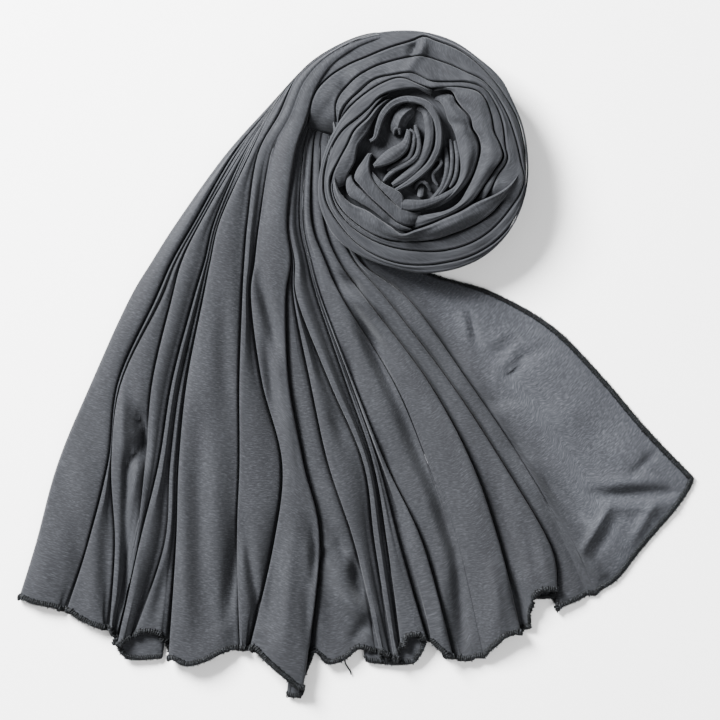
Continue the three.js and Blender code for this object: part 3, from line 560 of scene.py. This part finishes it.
    # the corner: straight across from the last fold to the free side edge
    below_coil = line_at(CORNER_SIDE, np.linspace(0, 1, last - len(CORNER_UNDER_COIL) + 1))
    side = through(np.concatenate([CORNER_UNDER_COIL, below_coil]), rows)
    start, start_high = points[-1][:, :2], points[-1][:, 2]
    shares = np.linspace(0, 1, 15)[1:]
    hem_line = line_at(CORNER_HEM, shares)
    buried = np.clip((len(TURNED) + 2.4 - rows) / 1.5, 0, 1)
    for v, hem_point in zip(shares, hem_line):
        straight = start + (side - start) * v
        flat = straight + (hem_point - straight[-1]) * hem_share[:, None]
        height = 1.0 + (start_high - 1.0) * (1 - v) ** 3 * (1 - hem_share * 0.6)
        height = height + CORNER_SWELL * np.sin(np.pi * v) ** 0.5 * (1 - at_hem ** 3)
        add(flat, height * (1 - buried) + np.minimum(height, 4) * buried, 4)
    return np.stack(points, axis=1), np.array(steps), splits


def smooth_line(line, count):
    """Evenly spaced points of a smooth line through a few points: the curve is read finely, and
    then again at even steps of its length."""
    line = np.array(line, float)
    fine = through(line, np.linspace(0, len(line) - 1, 400))
    run = run_along(fine)
    return read_columns(fine, run, np.linspace(0, run[-1], count))


def run_along(points):
    """How far each point lies from the first, along the points."""
    return np.concatenate([[0], np.cumsum(np.linalg.norm(np.diff(points, axis=0), axis=1))])


def read_columns(values, run, at):
    """Each column of an array, known at places along a run, read at other places."""
    return np.stack([np.interp(at, run, column) for column in values.T], axis=1)


def line_at(line, shares, count=600):
    """Points of a smooth line at shares of its length."""
    return read_columns(smooth_line(line, count), np.arange(count), np.asarray(shares) * (count - 1))


def smooth_section(controls, steps):
    """Reads each row's section between its control points, with a number of steps to each span."""
    places = np.concatenate([i + np.arange(n) / n for i, n in enumerate(steps[:-1])] + [[len(steps) - 1]])
    return through(np.swapaxes(controls, 0, 1), places).swapaxes(0, 1), places


def fan_cloth(count):
    """The whole sheet as a grid of points in millimetres, with a number of rows, a third of them near
    the hem. Returns the grid, each row's station, each column's place and the places of the splits."""
    last_station = len(TURNED) + len(LEVELS)
    near = count // 3
    rows = np.concatenate([
        np.linspace(0, last_station - 1, count - near, endpoint=False),
        last_station - 1 + np.linspace(0, 1, near) ** 0.8,
    ])
    controls, steps, splits = fan_controls(rows)
    grid, places = smooth_section(controls, steps)
    settle = np.clip((rows - len(TURNED) - 1) / 1.5, 0, 1)[:, None]
    near_hem = np.clip((last_station - rows) * 3, 0.35, 1)[:, None]
    away_from_side = np.clip((places[-1] - places) / 2.5, 0.15, 1)[None, :]
    grid[:, :, 2] += crease_height(grid[:, :, :2], CREASES) * settle * near_hem * away_from_side
    x, y = grid[..., 0], grid[..., 1]
    sway = 0.3 * np.sin(x / 9.3 + y / 31) + 0.3 * np.sin(y / 17.1 - x / 7)
    grid[:, :, 2] = np.maximum(grid[:, :, 2] + sway * settle * away_from_side, 0.75)
    in_reach = UNDER_COIL_RADIUS - np.linalg.norm(grid[:, :, :2] - COIL_CENTRE, axis=2)
    pressed = np.minimum(grid[:, :, 2], UNDER_COIL_HIGH)
    grid[:, :, 2] += (pressed - grid[:, :, 2]) * np.clip(in_reach / 4, 0, 1)
    return grid, rows, places, [int(np.searchsorted(places, split)) for split in splits]


for k, (name, count, nodes) in enumerate(zip(
        ("fan_left_cloth", "fan_middle_cloth", "fan_right_cloth"), FAN_ROWS,
        (["fanned_end"], ["fanned_end"], ["fanned_end", "corner_panel"]))):
    fan_mm, fan_rows, fan_places, ends = fan_cloth(count)
    ends = [0, *ends, fan_mm.shape[1] - 1]
    columns = slice(ends[k], ends[k + 1] + 1)
    # how far the colour is lifted as painted light, towards the corner where the cloth lies single
    painted_light_share = 0.8 * np.clip((fan_places[columns] - fan_places[-1] + 14) / 4, 0, 1)
    part_points = fan_mm[:, columns] * MM
    cloth_sheet(name, part_points, grid_faces(*part_points.shape[:2]), part_points.shape[1] // 2,
                nodes, single=np.tile(painted_light_share, count))

# The coil: the gathered length of the scarf, wound clockwise and inwards about three times. Its
# folds lie side by side as rounded strips. A strip is given by the lines of its two edges round
# the coil, each a row of turned degrees and radius in millimetres, clockwise from the left.
OUTLINE = {14: 100, 30: 99, 45: 94.6, 60: 90.4, 75: 86, 90: 82.6, 105: 79.2, 120: 75.1, 137: 73.4,
    150: 70.7, 165: 70.4, 180: 71.1, 200: 74.5, 225: 79.2, 240: 80.9, 255: 81, 270: 80.6, 285: 79.6,
    300: 80.6, 318: 81.4, 325: 79.9, 337: 76.5, 352: 69.7, 360: 66.6, 375: 61.9, 390: 58.5, 405: 55.8,
    420: 54.4, 433: 53, 447: 46.2, 457: 43.9, 468: 46.2, 480: 51}
TENT_LINE = {14: 79.6, 30: 83, 38: 81.6, 50: 77.9, 60: 75.1, 73: 74.6, 85: 76.2, 90: 78.6, 97: 76.2,
    110: 73.4, 120: 71.1, 135: 68.3, 150: 67.3, 165: 68.2, 180: 68.7, 195: 72.1, 207: 75.1, 222: 76.4,
    240: 76.2, 260: 74.8, 280: 75.4, 300: 75.3, 320: 73.4, 335: 72.1, 345: 68.8, 360: 62.6, 375: 56.4,
    388: 50, 400: 47.1, 413: 47.4, 420: 46.6, 430: 44.9, 445: 43, 452: 40.5, 460: 38}
SECOND_LINE = {12: 60.2, 20: 61.6, 30: 67.3, 45: 68, 57: 67, 75: 65.3, 90: 65.3, 100: 63.2, 113: 61.9,
    120: 61.9, 130: 63.5, 150: 62.5, 170: 63, 185: 66, 195: 70.4, 215: 69.4, 235: 68.7, 255: 67, 275: 65.6,
    300: 67.3, 318: 68.7, 332: 68, 345: 63.9, 355: 56.4, 365: 51.3, 378: 48.3, 392: 44.2, 407: 44.9,
    420: 46}
THIRD_LINE = {20: 60.4, 30: 61.2, 45: 59.5, 57: 59.2, 70: 56.1, 82: 54.4, 97: 48.5, 110: 50.7, 125: 57.1,
    135: 59.8, 143: 59.2, 160: 56.8, 175: 55.4, 184: 56.8, 196: 52.4, 215: 51.7}
INNER_LINE = {20: 60, 30: 58.5, 45: 55.8, 60: 54.4, 73: 53, 87: 46.2, 97: 43.9, 108: 46.2, 120: 51,
    134: 55.8, 150: 52.7, 163: 50, 176: 53, 182: 54.4, 193: 49.6, 207: 46.9, 225: 47.6}
LOWER_LINE = {190: 67.5, 200: 65, 210: 62.6, 220: 61.5, 240: 58.5, 251: 57.8, 262: 58.5, 278: 59.8,
    292: 62.6, 310: 64.6, 335: 66, 348: 61}
BRIGHT_RIM = {186: 66.5, 190: 65.5, 198: 62.5, 207: 57.1, 217: 51, 225: 47.9, 235: 46.6, 250: 45.9,
    262: 47.6, 275: 51.3, 285: 55.8, 293: 53.7, 303: 52.7, 315: 53.7, 325: 58.5, 335: 61, 345: 60.5,
    352: 56}
# Creases pressed across the coil's strips, given as the fan's are. The first ones make the small
# tent that stands at the coil's top.
COIL_CREASES = [
    (44.3, 215, 42, 203, 3.4, 2.2), (39.5, 214.5, 35, 203, -4, 2.2), (44, 213, 32.5, 191.5, 2.2, 3),
    (50, 212, 58, 196, -1.6, 4), (-27, 162, -16, 175, -2.2, 3.4), (-12, 189, -6, 177, -3, 2.8),
    (-4, 196, 3, 186, 1.8, 3), (16, 206, 20, 196, -1.6, 3.2), (86, 179, 98.7, 162, -2.2, 3.4),
    (72, 196, 80, 184, 1.8, 3.4), (77.7, 151, 87, 142, -3, 2.6), (-8, 106, 11, 97, -1.8, 3),
    (50, 85, 78, 97, 1.6, 3.4), (18, 88, 24, 97, -1.6, 3), (-20, 120, -12, 112, 1.6, 3),
    (98, 120, 88, 128, -2, 3), (60, 176, 70, 170, -2.4, 2.6), (64, 160, 73, 156, -2, 2.6),
    (28, 184, 36, 178, -2, 2.6), (46, 190, 56, 180, 2, 2.6),
]


def read_table(table, places):
    """Reads a table of turned degrees and values at any places, smoothly: each span is a cubic
    whose slopes at the rows are the mean of the slopes on both sides."""
    x, y = np.array(list(table.items()), float).T
    slope = np.diff(y) / np.diff(x)
    at_rows = np.concatenate([[slope[0]], (slope[1:] + slope[:-1]) / 2, [slope[-1]]])
    i = np.clip(np.searchsorted(x, places) - 1, 0, len(x) - 2)
    run = x[i + 1] - x[i]
    f = np.clip((places - x[i]) / run, 0, 1)
    return cubic(y[i], y[i + 1], at_rows[i] * run, at_rows[i + 1] * run, f)


STRIP_THICK = CLOTH_THICK * 0.8
STRIP_WALL = 7               # how far a strip's side walls reach down from its quarter rounds
STRIP_GAP = 0.35             # from each line to the strip's own edge
DIVE_LENGTH = 14             # over which a strip's end dives


def strip_section(width, rounds, crown, bead):
    """Section across a strip, for every row: its left wall, a quarter round, the face, a quarter
    round and its right wall. The face bows up by the crown, and beads of folded cloth stand at its
    two edges. Gives places across and heights, in millimetres above the edges' own heights, and the
    share of the width at which each point reads its height."""
    a, b = (np.minimum(radius, width * 0.42) for radius in rounds)

    def edge_points(side, radius):
        """A wall and a quarter round, from the wall's foot: places in from the edge, and heights."""
        wall = [(0.5 * v, -radius - STRIP_WALL * v) for v in (1.0, 0.6, 0.25)]
        turn = [(radius * (1 - np.cos(angle)), radius * (np.sin(angle) - 1) + bead[side] * np.sin(angle) ** 2)
                for angle in np.radians([0, 25, 50, 72])]
        return wall + turn

    section = [(inwards, up, 0) for inwards, up in edge_points(0, a)]
    for v in np.linspace(0, 1, 8):
        lip = bead[0] * np.maximum(1 - 5 * v, 0) ** 2 + bead[1] * np.maximum(5 * v - 4, 0) ** 2
        section.append((a + (width - a - b) * v, crown * 4 * v * (1 - v) + lip, v))
    section += [(width - inwards, up, 1) for inwards, up in reversed(edge_points(1, b))]
    return (np.stack([value + 0 * width for value in values], axis=1) for values in zip(*section))


def strip(name, left, right, left_high, right_high, node_name, seed, rounds=(1.6, 1.6), crown=0.4,
          bead=(0, 0), dive=(0, 0), ripple=0.25):
    """A strip of cloth between two lines of points, with a height at each. Its ends may dive under
    what covers them. Soft ripples, two sines of the way along, run across it."""
    width = np.linalg.norm(right - left, axis=1)
    across, up, share = strip_section(width, rounds, crown * np.minimum(width / 8, 1.5), bead)
    flat = left[:, None, :] + unit_rows(right - left)[:, None, :] * across[:, :, None]
    high = left_high[:, None] * (1 - share) + right_high[:, None] * share + up
    along = run_along((left + right) / 2)[:, None]
    wave = np.sin(along / 7.1 + seed * 5 + 2 * share) + 0.7 * np.sin(along / 3.7 + seed * 9 - 3 * share)
    high += ripple * wave * np.clip(width / 8, 0.2, 1.4)[:, None]
    for amount, away in zip(dive, (along, along[-1] - along)):
        high -= amount * np.clip(1 - away / DIVE_LENGTH, 0, 1) ** 2
    high += crease_height(flat, COIL_CREASES)
    points = np.concatenate([flat, high[:, :, None]], axis=2) * MM
    cloth_sheet(name, points, grid_faces(*points.shape[:2])[:, ::-1], points.shape[1] // 2,
                [node_name], STRIP_THICK)


def coil_strip(name, outer, inner, outer_high, inner_high, node_name, **shape):
    """A strip round the coil between two lines, over the turned degrees of its tables of heights."""
    places = np.arange(min(outer_high), max(outer_high) + 1, 2.0)
    out_radius = read_table(outer, places) - STRIP_GAP
    in_radius = np.minimum(read_table(inner, places) + STRIP_GAP, out_radius - 0.9)
    strip(name, round_coil(places, out_radius), round_coil(places, in_radius),
          read_table(outer_high, places), read_table(inner_high, places), node_name, **shape)


# Under the strips: the coil's hidden layers, one sheet that rises from the surface in the edges of
# the layers below and closes over the middle, where it shows dark between the strips. Its outline
# keeps a millimetre inside the coil's, and further in where the fan leaves it.
UNDER_LINE = {0: 62, 15: 63, 30: 72, 45: 78, 60: 81, 90: 81.6}
UNDER_LINE.update({turned: radius - 1 for turned, radius in OUTLINE.items() if 105 <= turned <= 352})
UNDER_LINE[360] = 62
WALL_LAYERS = 5
under_turned = np.arange(0, 360, 2.5)
under_line = read_table(UNDER_LINE, under_turned)
under_rings = []
for v in np.linspace(0, 1, 31):
    layer = np.abs(np.sin(np.pi * WALL_LAYERS * v + 0.3 * np.sin(np.radians(under_turned) * 2)))
    radius = under_line - 2.6 + 2.4 * layer ** 0.7 * (1 - 0.25 * v)
    under_rings.append((radius, 0.6 + 23.5 * v + 0 * radius))
for v, height in ((0.97, 24), (0.93, 23), (0.8, 24), (0.6, 26), (0.4, 27), (0.2, 27.5), (0.02, 27.5)):
    under_rings.append((under_line * v, height + 1.2 * np.sin(np.radians(under_turned) * 3 + 9 * v)))
under_points = np.stack([
    np.concatenate([round_coil(under_turned, radius), height[:, None]], axis=1)
    for radius, height in under_rings]) * MM
cloth_sheet("coil_under_layers", under_points, grid_faces(*under_points.shape[:2], wrap=True), 0,
            ["coil_outer_turn"])

# The strips, from the coil's outer side inwards: their two lines, and the heights of both edges.
coil_strip(
    "coil_outer_strip", OUTLINE, TENT_LINE,
    {14: 17, 30: 22, 60: 26, 90: 28, 200: 27.5, 300: 27, 345: 30, 425: 35, 458: 36},
    {14: 18, 30: 24, 60: 28, 90: 30, 200: 28.5, 300: 28.5, 345: 31, 425: 36, 458: 36},
    "coil_outer_turn", rounds=(1.6, 1.2), bead=(0.4, 0.3), dive=(8, 6), seed=1)
coil_strip(
    "coil_middle_strip", TENT_LINE, SECOND_LINE,
    {12: 19, 30: 27, 60: 29, 90: 31, 200: 29, 300: 29, 345: 31, 420: 35},
    {12: 19, 30: 29, 60: 30, 90: 31, 150: 33, 200: 30.5, 300: 30.5, 345: 33, 420: 36},
    "coil_outer_turn", rounds=(1.3, 1.5), bead=(0.5, 0.2), dive=(8, 5), seed=2)
coil_strip(
    "coil_second_strip", SECOND_LINE, THIRD_LINE, {20: 27, 30: 30, 60: 31, 90: 32, 150: 32.6, 215: 32},
    {20: 28, 30: 31, 60: 32, 90: 33, 150: 34, 215: 34}, "coil_second_turn", rounds=(1.2, 1.6),
    bead=(0.2, 0.4), dive=(4, 7), seed=3)
coil_strip(
    "coil_thin_strip", THIRD_LINE, INNER_LINE, {20: 29, 60: 33, 150: 35, 222: 34},
    {20: 29, 60: 33.6, 150: 35.4, 222: 34}, "coil_second_turn", rounds=(0.9, 0.9), dive=(6, 6), seed=4)
coil_strip(
    "coil_lower_strip", SECOND_LINE, LOWER_LINE, {195: 29, 230: 30, 300: 31, 348: 32},
    {195: 30, 230: 31, 300: 32, 348: 33}, "coil_second_turn", rounds=(1.2, 1.2), bead=(0.3, 0.2),
    dive=(5, 5), seed=5)
coil_strip(
    "coil_broad_strip", LOWER_LINE, BRIGHT_RIM, {190: 32, 230: 34, 300: 34.5, 348: 33.5},
    {190: 33.5, 230: 38, 300: 39, 348: 35}, "coil_second_turn", rounds=(1.6, 1.6), bead=(0.2, 0.9),
    dive=(3, 5), crown=0.9, seed=6)

# The coil's third turn: folds and panels inside the broad strip, down to the small hank in the
# middle. Each is given by its outer and its inner line, and the heights of both edges.
coil_strip(
    "coil_long_panel",
    {100: 44.2, 108: 46.6, 120: 51, 134: 55.6, 150: 52.5, 163: 49.8, 176: 52.6, 182: 53.6, 193: 49.4,
    207: 46.7, 225: 46.6, 240: 45.6, 255: 46.2, 266: 48, 280: 52},
    {100: 42.8, 108: 44.6, 115: 45.5, 122: 42.2, 130: 40.3, 143: 39.8, 153: 37.4, 165: 38.8, 175: 38.8,
    190: 37.4, 207: 37.1, 220: 38.1, 233: 40.4, 245: 41, 262: 40.5, 280: 42},
    {100: 35, 130: 37, 180: 37.4, 230: 35, 278: 33}, {100: 34, 130: 36, 180: 36.4, 230: 34.5, 278: 33},
    "coil_third_turn", rounds=(1.8, 1.8), crown=1.2, bead=(0, 0.4), dive=(5, 4), seed=7)
coil_strip(
    "coil_tall_panel",
    {100: 38, 106: 41, 112: 43.4, 118: 43.8, 123: 41.2, 130: 39.6, 143: 39, 153: 36.8, 165: 37.8,
    175: 38, 190: 36.8, 207: 36.3, 220: 36, 233: 36.2, 250: 37.4, 268: 38.2},
    {100: 36, 106: 36.5, 112: 35, 120: 30.6, 126: 27.8, 135: 26.4, 150: 24.6, 165: 23.6, 178: 23.8,
    190: 25, 205: 27.4, 220: 29.8, 235: 31.8, 250: 33.4, 268: 36},
    {100: 31, 118: 34, 150: 35, 200: 35.5, 268: 32}, {100: 31, 118: 33, 150: 35.5, 200: 35.5, 268: 32},
    "coil_third_turn", rounds=(2.2, 1.8), crown=1.6, bead=(0, 0.4), dive=(6, 4), seed=26)
coil_strip(
    "coil_left_panel", {338: 66, 345: 63, 355: 56.4, 365: 51.3, 378: 48.3, 392: 44.2, 407: 44.4, 420: 44},
    {338: 56, 345: 51, 352: 45.9, 360: 44.2, 366: 43.6, 380: 39.5, 395: 39.5, 407: 40.5, 420: 41},
    {338: 33, 360: 36, 378: 36, 420: 34}, {338: 33, 360: 35.5, 378: 34, 420: 32}, "coil_third_turn",
    rounds=(1.4, 1.4), crown=0.6, bead=(0.2, 0.5), dive=(4, 5), seed=8)
coil_strip(
    "coil_slim_fold",
    {278: 53.4, 285: 54.2, 293: 52.6, 303: 51.4, 312: 51.4, 323: 54.6, 331: 57.5, 338: 56, 345: 52},
    {278: 50.5, 287: 50, 295: 48.6, 305: 46.8, 315: 46.4, 328: 47.8, 338: 50, 345: 49.5},
    {278: 33, 310: 35, 345: 34}, {278: 33.5, 310: 35.5, 345: 34.5}, "coil_third_turn",
    rounds=(1.2, 1.2), crown=0.4, dive=(4, 3), seed=9)
coil_strip(
    "coil_hanging_panel",
    {272: 46.5, 280: 49.8, 290: 49.2, 300: 46.8, 311: 45.8, 322: 46.4, 333: 47.8, 340: 49.2, 346: 46,
    352: 41.5, 360: 37.2},
    {272: 38.8, 283: 39.6, 295: 39.1, 305: 38.1, 320: 37.4, 335: 37.6, 347: 36.4, 360: 33.5},
    {272: 33, 310: 36, 340: 37, 360: 35}, {272: 33, 310: 36.4, 340: 37, 360: 35}, "coil_third_turn",
    rounds=(1.4, 1.6), crown=0.8, bead=(0.3, 0.5), dive=(5, 2), seed=10)

# The coil's middle: the scarf's inner end, a thin hank folded back on itself in an S, with a tongue
# of cloth across it, small curls beside it and two deep pockets. Millimetres from the coil's centre.
LINE_POINTS = 60             # points along each of the middle's lines


def core_piece(name, upper, lower, high, **shape):
    """A strip between two lines of points. high gives heights at even steps along it."""
    heights = np.interp(np.linspace(0, len(high) - 1, LINE_POINTS), np.arange(len(high)), high)
    strip(name, upper + COIL_CENTRE, lower + COIL_CENTRE, heights, heights, "coil_core", **shape)


def core_strip(name, upper, lower, high, **shape):
    """A strip between two given lines."""
    core_piece(name, smooth_line(upper, LINE_POINTS), smooth_line(lower, LINE_POINTS), high, **shape)


def core_fold(name, line, wide, high, **shape):
    """A narrow fold that follows one given line, and is half as wide at its very ends."""
    middle = smooth_line(line, LINE_POINTS)
    run = unit_rows(np.gradient(middle, axis=0))
    half = wide / 2 * (1 - 0.5 * np.linspace(-1, 1, LINE_POINTS) ** 6)
    aside = np.stack([-run[:, 1], run[:, 0]], axis=1) * half[:, None]
    core_piece(name, middle + aside, middle - aside, high, **shape)


core_fold(
    "core_swirl",
    [(-35.4, 8.2), (-32, 10.4), (-29.9, 17.7), (-27.2, 25.2), (-23.1, 30.6), (-18.4, 34), (-11.6, 36),
    (-4.8, 35.4), (1.4, 33.3), (6.1, 28.6), (9.5, 21.8), (10.9, 12.9), (10.2, 4.1), (7.5, -2.7),
    (4.1, -8.2), (-1.4, -13.6), (-8.2, -19), (-15, -23.1), (-18.5, -24.8)], 4.6,
    [33, 36, 37.5, 37, 36.5, 36, 34], rounds=(1.3, 1.3), bead=(0.3, 0.3), seed=11)
core_fold(
    "core_second_swirl",
    [(-3.5, 31), (1.4, 28.6), (3.8, 22.5), (4.5, 13.6), (3.1, 4.1), (-0.7, -4.1), (-6.8, -11.6),
    (-13.6, -17.2), (-20.4, -21.4)], 6.2, [31, 33.5, 34.5, 35, 34.5, 34, 33], rounds=(1.5, 1.5),
    crown=0.7, seed=12)
core_fold(
    "core_third_swirl",
    [(-5.2, 19), (-3.4, 10.9), (-2.7, 4.1), (-4.1, -1.4), (-6.8, -4.8), (-11.6, -7.9), (-18.4, -11.2),
    (-23.1, -15), (-26.4, -19)], 3.4, [33, 35.5, 36, 36, 35.5, 35, 34], rounds=(1.1, 1.1), seed=13)
core_fold(
    "core_fourth_swirl",
    [(-8.8, 16.3), (-6.1, 12.2), (-6.6, 4.1), (-9.3, -2.7), (-13.6, -5.6), (-19, -8.6), (-24, -11.5)],
    2.6, [33.5, 36.5, 36.8, 36, 34.5, 33.5], rounds=(0.9, 0.9), seed=14)
core_strip(
    "core_tongue", [(-10.4, 16), (-12.4, 9.5), (-15.4, 6.1), (-21.8, 2.7), (-28.6, -2.7), (-33, -7.8)],
    [(-8.4, 14.6), (-8.6, 8.4), (-10.9, 1.5), (-17.5, -4.6), (-25.2, -8.2), (-32.6, -9.6)],
    [36.5, 37.5, 38, 38.2, 38, 36.5], rounds=(1.5, 1.2), crown=1, bead=(0.3, 0.3), seed=15)
core_fold(
    "core_bulb", [(-6.8, 30.2), (-11, 27.5), (-14.6, 23.5), (-16.4, 18.5), (-16.8, 13.5)], 10.5,
    [31, 33, 34, 33, 30], rounds=(4, 4), crown=1.5, seed=16)
core_fold(
    "core_curl", [(-19.5, 12.5), (-18.4, 16.4), (-15.8, 16.2), (-15.3, 12.6)], 2.0, [31, 34, 34, 32],
    rounds=(0.8, 0.8), ripple=0, seed=17)
for number, (line, wide, high) in enumerate((
        ([(15.2, 4), (16, -2), (16.3, -8), (15.4, -15.5), (13, -22.5), (8.8, -28), (5, -31)], 3.2, 33),
        ([(18.4, 9.5), (19.4, 2), (19.6, -6), (18.6, -14), (15.8, -21.5), (10.8, -28)], 2.6, 34),
        ([(21.4, 8.5), (23, 0), (23, -8), (21.8, -16), (18, -23)], 2.8, 34.6),
        )):
    core_fold(f"core_right_fold_{number + 1}", line, wide, [high - 3, high, high, high - 2],
              rounds=(1, 1), seed=18 + number)
core_fold(
    "core_hook",
    [(8.6, -5.4), (10.9, -3.8), (12.4, -6.8), (10.2, -10.2), (7, -13.6), (7.4, -17.7), (10.2, -21.6)],
    2.2, [31, 33.5, 33.5, 33, 32], rounds=(0.8, 0.8), ripple=0, seed=21)
core_fold(
    "core_arch", [(-5.2, -24), (-3.4, -20.4), (-0.2, -19), (2.9, -21.1), (5.2, -25)], 2.2, [30, 33, 33, 30],
    rounds=(0.8, 0.8), ripple=0, seed=22)
core_fold(
    "core_under_arch", [(-0.8, -21.4), (-1.2, -25), (-1.8, -29.5)], 4.4, [28, 31, 33], rounds=(1.5, 1.5),
    ripple=0, seed=23)
core_strip(
    "core_low_band",
    [(-14.5, -31), (-8, -31.2), (-1, -31.4), (7, -29.8), (14.5, -26.5), (20.8, -22.6), (24.5, -17)],
    [(-15, -37.6), (-8.2, -38.6), (-1.4, -37.6), (8.8, -34.2), (17.2, -29.6), (23.2, -24.3),
    (26.4, -18)], [35, 35.5, 35.5, 35, 34.5, 34, 32], rounds=(1.3, 1.6), crown=0.8, bead=(0.3, 0.2),
    seed=24)
core_strip(
    "core_low_panel",
    [(-33.5, -12.5), (-27.5, -19.4), (-20.4, -23.4), (-15, -26.8), (-12.9, -30.6), (-12.9, -36.4)],
    [(-35.4, -15), (-30.6, -21.4), (-25.8, -26.6), (-21.4, -31), (-17.6, -34.8), (-14.4, -38)],
    [34, 36, 36.5, 36.5, 36, 35], rounds=(1.3, 1.3), crown=0.6, bead=(0.3, 0.3), seed=25)

# The overlocked edge: dark thread wound closely round the cut edge of the cloth, along the hem and
# up the free side, over a second thread that fills the space between its turns.
THREAD = {"pitch": 1.45, "reach": 1.9, "lift": 1.05, "thick": 0.5, "inset": 1.2}
thread_material, thread_tree, thread_shader = new_material("overlock_thread")
thread_place = node(thread_tree, "TexCoord").outputs["Object"]
thread_noise = node(thread_tree, "TexNoise", {
    "Vector": thread_place, "Scale": 1400.0, "Detail": 2.0})
thread_share = node(thread_tree, "MapRange", {
    "Value": thread_noise.outputs["Fac"], "From Min": 0.5, "From Max": 0.7})
thread_colour = node(thread_tree, "Mix", {
    "Factor": thread_share.outputs["Result"], "A": (0.0015, 0.0017, 0.002, 1), "B": (0.030, 0.033, 0.037, 1)},
    data_type="RGBA")
fill(thread_tree, thread_shader, {
    "Base Color": thread_colour.outputs["Result"], "Roughness": 0.7, "Specular IOR Level": 0.12})


def ring_tube(path, first, second, sides):
    """A tube along points: round each, the point plus the turn's cosine times one vector, plus its
    sine times the other."""
    turn = np.arange(sides) / sides * 2 * np.pi
    return path[:, None] + np.cos(turn)[None, :, None] * first[:, None] \
        + np.sin(turn)[None, :, None] * second[:, None]


def round_tube(path, radius, sides):
    """A round tube along points, with its rings in planes square to the path."""
    run = unit_rows(np.gradient(path, axis=0))
    helper = np.where(np.abs(run[:, 2:3]) < 0.8, np.array([[0, 0, 1.0]]), np.array([[1.0, 0, 0]]))
    first = unit_rows(np.cross(run, helper))
    return ring_tube(path, first * radius, np.cross(run, first) * radius, sides)


def thread_piece(name, tubes, node_name):
    """One piece of thread from tubes, which are grids of points round and round, in millimetres."""
    vertices, faces = [], []
    for rings in tubes:
        faces.append(grid_faces(*rings.shape[:2], wrap=True) + sum(map(len, vertices)))
        vertices.append(rings.reshape(-1, 3) * MM)
    piece = add_mesh(name, np.concatenate(vertices), np.concatenate(faces), thread_material)
    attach(piece, "root")
    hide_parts(node_name)


def overlock(name, edge, outward, node_name):
    """Thread wound round an edge (points in millimetres, with the way out of the cloth at each): a
    helix with long and short half widths, lumpy from stitch to stitch, and a flat core inside it."""
    run = run_along(edge)
    length = run[-1]

    def frame_at(at):
        """The thread's middle, the way out of the cloth and the way up, at places along the edge."""
        centre, out = read_columns(edge, run, at), read_columns(outward, run, at)
        way = unit_rows(np.gradient(centre, axis=0))
        out = unit_rows(out - way * np.sum(out * way, axis=1)[:, None])
        up = np.cross(way, out)
        up *= np.where(up[:, 2:3] < 0, -1, 1)
        return centre - out * THREAD["inset"], out, up

    places = np.linspace(0, length, int(length / THREAD["pitch"]) * 9)
    centre, out, up = frame_at(places)
    angle = places / THREAD["pitch"] * 2 * np.pi
    lump = 1 + 0.13 * np.sin(places * 1.7) + 0.12 * np.sin(places * 2.9 + 1) + 0.08 * np.sin(places * 0.6 + 2)
    helix = centre + out * (np.cos(angle) * THREAD["reach"] * lump)[:, None] \
        + up * (np.sin(angle) * THREAD["lift"] * lump)[:, None]
    helix[:, 2] = np.maximum(helix[:, 2], THREAD["thick"] + 0.1)
    wound = round_tube(helix, THREAD["thick"], 5)
    centre, out, up = frame_at(np.linspace(0, length, max(int(length / 1.2), 8)))
    core = ring_tube(centre, out * (THREAD["reach"] * 0.9), up * (THREAD["lift"] * 0.9), 8)
    core[:, :, 2] = np.maximum(core[:, :, 2], 0.1)
    thread_piece(name, (wound, core), node_name)


overlock("hem_thread", fan_mm[-1], fan_mm[-1] - fan_mm[-4], "bottom_edge_stitching")
side = fan_mm[fan_rows > len(TURNED) + 1.6]
overlock("side_thread", side[:, -1], side[:, -1] - side[:, -4], "side_edge_stitching")

# The thread's loose tail, which hangs from the hem a little right of the middle.
TAIL = np.array([
    (-9.4, -202.6, 2.2), (-8.4, -206.4, 1.8), (-6.6, -209.4, 1.2), (-5, -211.6, 1.0), (-4.7, -214, 1.0)])
TAIL_POINTS = 25
tail_path = read_columns(TAIL, np.arange(len(TAIL)), np.linspace(0, len(TAIL) - 1, TAIL_POINTS))
thread_piece("thread_tail", [round_tube(tail_path, THREAD["thick"], 6)], "bottom_edge_stitching")
